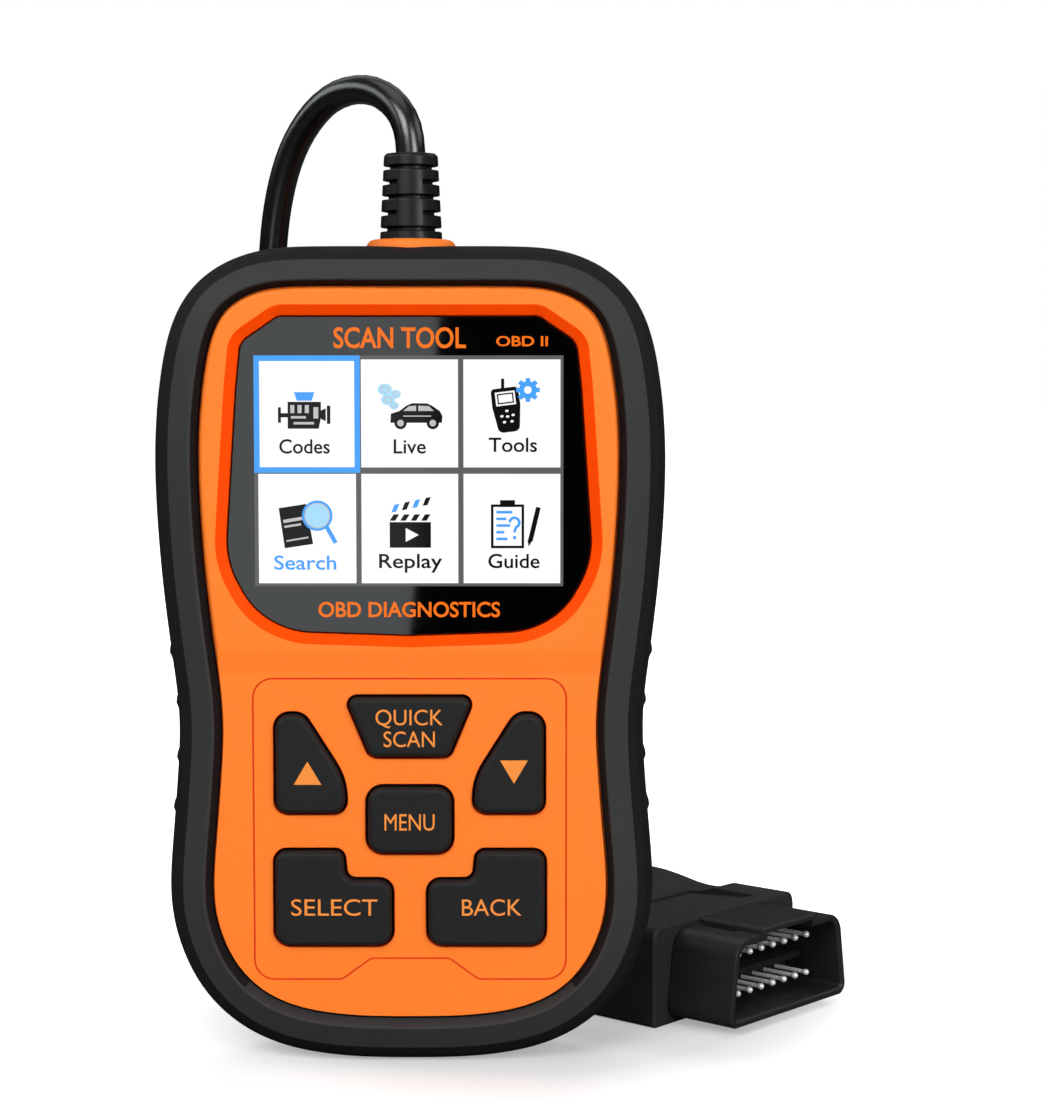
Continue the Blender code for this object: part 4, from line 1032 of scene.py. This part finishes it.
def add_collar(materials):
    """The rounded ring that the sleeve stands in."""
    profile = [(COLLAR_BORE, COLLAR_LOW_Z), (COLLAR_RADIUS, COLLAR_LOW_Z)]
    profile += quarter_round(COLLAR_RADIUS, COLLAR_TOP_Z, -COLLAR_ROUND, -COLLAR_ROUND, 6)
    profile += [(COLLAR_BORE + 0.15, COLLAR_TOP_Z), (COLLAR_BORE, COLLAR_TOP_Z - 0.2)]
    rings = [[(r * x, r * y, z) for r, z in profile] for x, y in circle(1.0, 96)]
    ring = rings_mesh(rings, closed=True)
    piece("collar_ring", ring, [materials["orange"]], ("cable_collar",))


def add_relief(materials):
    """Ribbed sleeve: softly eight-sided and tapered, with whole ring grooves and ones at the sides only."""
    rows, count, end_round = 230, 112, 0.7
    facet = pi / 4.0
    foot = ((8.0, 145.0), (8.0, 148.3), (5.4, 148.3), (5.4, SLEEVE_BASE_Z))
    mouth = ((3.35, SLEEVE_TOP_Z), (3.0, SLEEVE_TOP_Z - 0.4), (2.9, SLEEVE_TOP_Z - 2.0))
    rings = [level_circle(radius, z, count) for radius, z in foot]
    for row in range(rows + 1):
        z = SLEEVE_BASE_Z + (SLEEVE_TOP_Z - SLEEVE_BASE_Z) * row / rows
        share = (z - SLEEVE_TAPER_Z) / (SLEEVE_TOP_Z - SLEEVE_TAPER_Z)
        flat = SLEEVE_BASE_R + (SLEEVE_TOP_R - SLEEVE_BASE_R) * share
        ring = []
        for angle in [2.0 * pi * i / count for i in range(count)]:
            from_flat = (angle + facet / 2.0) % facet - facet / 2.0
            reach = flat * (1.0 + (1.0 / cos(from_flat) - 1.0) * 0.16) - sleeve_groove(z, angle)
            if z > SLEEVE_TOP_Z - end_round:
                reach -= 0.45 * ((z - SLEEVE_TOP_Z + end_round) / end_round) ** 2
            ring.append((reach * cos(angle), reach * sin(angle), z))
        rings.append(ring)
    rings += [level_circle(radius, z, count) for radius, z in mouth]
    return piece("relief_sleeve", rings_mesh(rings), [materials["relief"]], ("strain_relief",))


def sleeve_groove(z, angle):
    """How deep the sleeve's grooves are here; those that aren't whole fade out at the front and the back."""
    for groove_z, whole in SLEEVE_GROOVES:
        near = abs(z - groove_z) / 0.45
        if near < 1.0:
            cutoff = 1.0 if whole else min(max((0.90 - abs(sin(angle))) / 0.06, 0.0), 1.0)
            return 1.25 * min((1.0 - near) * 3.0, 1.0) * cutoff
    return 0.0


def add_keys(materials):
    flange = [(-1.0, -9.7), (-1.0, -10.7), (0.0, -10.7)]
    profile = flange + quarter_round(0.0, KEY_Y, KEY_ROUND, KEY_ROUND, 7)
    for name, outline in key_outlines().items():
        cap = layers_mesh(offset(outline, KEY_INSET), profile)
        piece(f"keycap_{name}", cap, [materials["key"]], (f"key_{name}",), f"{name}_key")
    y = KEY_Y - 0.03
    ink = materials["legend"]
    for name, text, cap_height, centre, width, key in LEGENDS:
        words(f"legend_{name}", text, cap_height, centre, y, ink, f"{key}_key", width)
    for name, x, base_z, tip_z in ARROWS:
        mark = prism_mesh([(x - 2.6, base_z), (x + 2.6, base_z), (x, tip_z)], y, y + 0.08)
        piece(f"legend_{name}", mark, [ink], body=f"{name}_key", sharp=None)


# ---- window and screen


def add_window(materials):
    profile = ((0.0, WINDOW_Y + 1.5), (0.0, WINDOW_Y + 0.12), (0.12, WINDOW_Y))
    pane = layers_mesh(window_outline(), profile)
    piece("window_pane", pane, [materials["pane"]], ("display_window",))
    y, ink = WINDOW_Y - LAYER, materials["ink"]
    words("print_title", "SCAN TOOL", 3.9, (-1.6, 137.8), y, ink, width=24.6, bold=0.018)
    words("print_small", "OBD II", 1.9, (21.1, 137.1), y, ink, width=9.6, bold=0.02)
    words("print_foot", "OBD DIAGNOSTICS", 2.9, (0.0, 87.1), y, ink, width=34.0, bold=0.018)


def flat_mesh(target, points, y=0.0):
    prism_mesh(points, y, y + LAYER, target)


def flat_box(target, left, right, low, high, y=0.0):
    flat_mesh(target, rectangle(left, right, low, high), y)


def flat_frame(target, left, right, low, high, wide, y=0.0):
    flat_box(target, left, right, high - wide, high, y)
    flat_box(target, left, right, low, low + wide, y)
    flat_box(target, left, left + wide, low + wide, high - wide, y)
    flat_box(target, right - wide, right, low + wide, high - wide, y)


def flat_ring(target, centre, outer, inner, y, count=40, squash=1.0):
    section = ((outer, y), (outer, y + LAYER), (inner, y + LAYER), (inner, y))
    rings = [
        [(centre[0] + r * cosine, depth, centre[1] + r * sine * squash) for r, depth in section]
        for cosine, sine in circle(1.0, count)
    ]
    rings_mesh(rings, closed=True, target=target)


def stroke(target, points, width, y=0.0):
    """A line of even width through a few points."""
    for a, b in zip(points, points[1:]):
        a, b = Vector(a), Vector(b)
        side = Vector((b.y - a.y, a.x - b.x)).normalized() * width / 2.0
        along = (b - a).normalized() * width * 0.3
        flat_mesh(target, [a - along - side, b + along - side, b + along + side, a - along + side], y)


def screen_piece(name, mesh_data, material):
    piece(f"screen_{name}", mesh_data, [material], sharp=None)


def add_screen(materials):
    """Six white tiles on a grey panel, the first one framed in blue, each with an icon and a caption."""
    half, low, high = SCREEN_HALF_W, SCREEN_LOW_Z, SCREEN_HIGH_Z
    y = WINDOW_Y - LAYER
    backing = bmesh.new()
    flat_box(backing, -half, half, low, high, y)
    screen_piece("backing", backing, materials["frame_grey"])

    y -= LAYER
    tiles = bmesh.new()
    for left, right in ((-half + 0.75, -9.85), (-8.85, 9.2), (10.2, half - 0.55)):
        for bottom, top in ((113.6, high - 0.75), (low + 0.55, 112.4)):
            flat_box(tiles, left, right, bottom, top, y)
    screen_piece("tiles", tiles, materials["lit"])

    y -= LAYER
    marker = bmesh.new()
    flat_frame(marker, -half, -9.05, 112.6, high, 1.05, y)
    screen_piece("marker", marker, materials["blue"])

    drawn = {name: bmesh.new() for name in ("dark", "blue", "pale", "shade", "lit")}
    for draw, x, z in (
        (draw_engine, -19.4, 123.9), (draw_car, 0.6, 123.6), (draw_reader, 19.3, 125.1),
        (draw_book, -19.4, 102.9), (draw_film, 0.3, 102.9), (draw_notes, 19.6, 103.0),
    ):
        counts = {name: len(mesh.verts) for name, mesh in drawn.items()}
        draw(SimpleNamespace(**drawn))
        for name, mesh in drawn.items():
            bmesh.ops.translate(mesh, vec=(x, y, z), verts=list(mesh.verts)[counts[name]:])
    for name, mesh in drawn.items():
        screen_piece(f"icons_{name}", mesh, materials[name])

    for name, text, x, z, width, key in (
        ("codes", "Codes", -19.4, 117.6, 9.4, "dark"), ("live", "Live", 0.2, 117.6, 6.0, "dark"),
        ("tools", "Tools", 19.4, 117.9, 9.0, "dark"), ("search", "Search", -19.4, 95.9, 11.6, "blue"),
        ("replay", "Replay", 0.3, 96.2, 11.8, "dark"), ("guide", "Guide", 19.6, 96.2, 9.6, "dark"),
    ):
        words(f"caption_{name}", text, 2.75, (x, z), y, materials[key], width=width, bold=0.012)


# Icons are drawn about the origin, in layers of ink; a negative y stands in front of the layer's own plane


def draw_engine(ink):
    """An engine block with pale cooling slots, a fan at its end and a blue filler on top."""
    flat_mesh(ink.dark, ((-3.1, -3.1), (2.7, -3.1), (3.1, -1.0), (3.1, 1.9), (-3.1, 1.9)))
    for left in (-2.6, -1.25, 0.1):
        flat_box(ink.shade, left, left + 0.75, -0.2, 1.3, -0.02)
    for span in ((-2.5, 0.3, -1.2, -0.75), (-2.0, 1.8, -2.3, -1.85), (1.7, 2.6, -1.2, 0.9)):
        flat_box(ink.shade, *span, -0.02)
    for span in ((-4.9, -4.35, -2.0, 0.9), (-4.35, -3.1, -1.0, -0.2), (4.2, 4.85, -2.2, 1.2)):
        flat_box(ink.dark, *span)
    flat_mesh(ink.dark, ((3.1, -1.3), (4.0, -1.7), (4.0, 0.7), (3.1, 0.3)))
    flat_mesh(ink.blue, ((-1.4, 2.1), (1.4, 2.1), (1.9, 3.7), (-1.9, 3.7)))


def draw_car(ink):
    """A car from the side, with four pale bubbles of exhaust over its tail."""
    body = (
        (-4.0, -1.7), (5.6, -1.7), (5.7, -0.4), (5.2, 0.5), (3.9, 1.4), (2.9, 1.9), (0.1, 1.95), (-1.0, 1.5),
        (-2.3, 0.5), (-3.9, 0.0),
    )
    flat_mesh(ink.dark, body)
    for wheel_x in (-2.1, 3.9):
        flat_mesh(ink.dark, circle(1.15, 28, (wheel_x, -1.75)), -0.01)
        flat_mesh(ink.shade, circle(0.62, 20, (wheel_x, -1.75)), -0.03)
    flat_mesh(ink.shade, ((-1.6, 0.5), (0.8, 0.5), (0.8, 1.5), (-0.5, 1.4)), -0.02)
    flat_mesh(ink.shade, ((1.2, 0.5), (4.1, 0.5), (3.2, 1.4), (1.2, 1.5)), -0.02)
    flat_box(ink.shade, -1.6, 3.6, -0.55, -0.35, -0.02)
    for x, z, radius in ((-5.0, 4.5, 1.35), (-3.0, 3.6, 1.0), (-4.4, 2.6, 1.3), (-3.3, 1.5, 0.9)):
        flat_mesh(ink.pale, [(x + a, z + b * 0.8) for a, b in circle(radius, 28)], -0.001 * radius)
        flat_ring(ink.shade, (x, z), radius * 0.62, radius * 0.45, -0.02, squash=0.8)


def draw_reader(ink):
    """A small hand-held reader, tilted, with a blue cog at its shoulder."""
    turn, shrink = Matrix.Rotation(radians(7.0), 2), 0.88

    def tilt(points):
        return [shrink * (turn @ Vector(p)) + Vector((-1.1, -0.2)) for p in points]

    body = ((-2.2, -5.4), (2.2, -5.4), (3.0, 0.2), (2.9, 4.0), (-2.9, 4.0), (-3.0, 0.2))
    flat_mesh(ink.dark, tilt(fillet_outline(body, (1.2, 1.2, 2.4, 0.8, 0.8, 2.4), 5)))
    flat_box(ink.dark, -2.1, -1.5, 3.0, 5.0)
    flat_mesh(ink.lit, tilt(rectangle(-2.1, 2.1, 0.3, 3.2)), -0.02)
    flat_mesh(ink.dark, tilt(rectangle(-1.75, 1.75, 0.65, 2.85)), -0.04)
    flat_mesh(ink.lit, tilt(rectangle(-1.45, 1.45, 0.95, 2.55)), -0.05)
    for x, z in ((0.0, -0.9), (-1.2, -1.9), (1.2, -1.9), (0.0, -2.1), (-0.8, -3.2), (0.8, -3.2)):
        flat_mesh(ink.lit, tilt([(x + a, z + 0.7 * b) for a, b in circle(0.36, 14)]), -0.03)
    cog = Vector((2.9, 2.9))
    flat_ring(ink.blue, cog, 1.65, 0.7, -0.06)
    for out in circle(1.0, 8):
        stroke(ink.blue, [cog + Vector(out) * 1.5, cog + Vector(out) * 1.95], 0.85, -0.06)


def draw_book(ink):
    """A tilted manual with pale bands, under a blue magnifying glass."""
    flat_mesh(ink.dark, ((-4.9, 3.1), (0.2, 3.9), (1.5, -3.6), (-3.8, -4.4)))
    for band in (
        ((-4.1, 0.9), (-0.6, 1.5), (-0.5, 0.9), (-4.0, 0.3)),
        ((-3.9, -0.2), (-0.8, 0.3), (-0.7, -0.1), (-3.8, -0.6)),
        ((-3.5, -2.9), (0.6, -2.2), (0.65, -2.5), (-3.45, -3.2)),
    ):
        flat_mesh(ink.shade, band, -0.02)
    glass = (2.3, 1.7)
    flat_mesh(ink.shade, circle(2.5, 40, glass), -0.03)
    flat_mesh(ink.pale, circle(2.2, 40, glass), -0.04)
    flat_ring(ink.blue, glass, 2.85, 2.4, -0.05, count=56)
    stroke(ink.blue, [(4.1, -0.5), (5.6, -3.2)], 0.8, -0.05)


def draw_film(ink):
    """A clapper board with a play mark, and blue and dark stripes on its lifted arm."""
    flat_box(ink.dark, -3.9, 3.8, -4.3, 0.5)
    for i in range(4):
        left, rise = -3.9 + 1.95 * i, 0.42 * i
        flat_mesh(ink.dark, ((left, 0.75), (left + 1.05, 0.75), (left + 1.8, 1.95), (left + 0.75, 1.95)))
        stripe = ((0.3, 2.25), (1.25, 2.45), (1.85, 3.95), (0.9, 3.75))
        flat_mesh(ink.dark if i % 2 else ink.blue, [(left + a, rise + b) for a, b in stripe])
    flat_mesh(ink.lit, ((-0.9, -3.2), (1.5, -1.9), (-0.9, -0.6)), -0.02)


def draw_notes(ink):
    """A clipboard with blue lines and a question mark, and a pen beside it."""
    flat_frame(ink.dark, -4.3, 1.9, -4.5, 3.7, 0.48)
    flat_box(ink.dark, -2.6, 0.2, 3.2, 4.5, -0.02)
    for i, length in enumerate((3.0, 1.9, 2.6, 1.5, 2.1)):
        flat_box(ink.blue, -3.3, -3.3 + length, 2.0 - 1.25 * i, 2.5 - 1.25 * i)
    turns = [radians(degrees) for degrees in range(170, -80, -20)]
    hook = [(0.1 + 0.9 * cos(turn), 0.3 + 0.9 * sin(turn)) for turn in turns]
    stroke(ink.blue, hook + [(0.1, -1.4)], 0.5, -0.02)
    flat_box(ink.blue, -0.18, 0.42, -2.8, -2.2, -0.02)
    stroke(ink.dark, [(3.1, -2.9), (4.5, 2.9)], 0.9)
    flat_mesh(ink.dark, ((2.5, -2.9), (3.4, -3.1), (2.75, -4.2)))


# ---- carried-over CAD nodes


def dress_nodes(materials):
    """Gives every CAD node that still shows its own material."""
    looks = {
        "lcd_panel": "screen", "lcd_backlight": "pressed", "lcd_flex": "film", "dome_sheet": "film",
        "keypad_mat": "key", "main_board": "board", "processor": "chip", "memory_chip": "chip",
        "can_transceiver": "chip", "voltage_regulator": "chip", "buzzer": "chip", "clock_crystal": "steel",
        "filter_capacitor": "steel", "board_screw_1": "steel", "board_screw_2": "steel",
        "cable_header": "nylon", "header_plug": "nylon", "inner_lead": "pvc",
    }
    for name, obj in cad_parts.items():
        if obj.hide_render:
            continue
        for slot in obj.material_slots:
            slot.material = materials[looks[name]]
        if not obj.material_slots:
            obj.data.materials.append(materials[looks[name]])


def main():
    bpy.context.scene.view_settings.view_transform = "Standard"
    add_camera()
    materials = make_materials()
    plug = [
        make(materials) for make in (add_shell, add_hood, add_carrier, add_contacts, add_plug_sleeve)
    ]
    add_lead(materials, plug + [add_tie(materials), add_relief(materials)])
    add_world()
    add_stage()
    add_lamps()
    for add in (add_bumper, add_front, add_rear, add_case_screws, add_collar, add_window, add_screen):
        add(materials)
    add_keys(materials)
    dress_nodes(materials)


main()
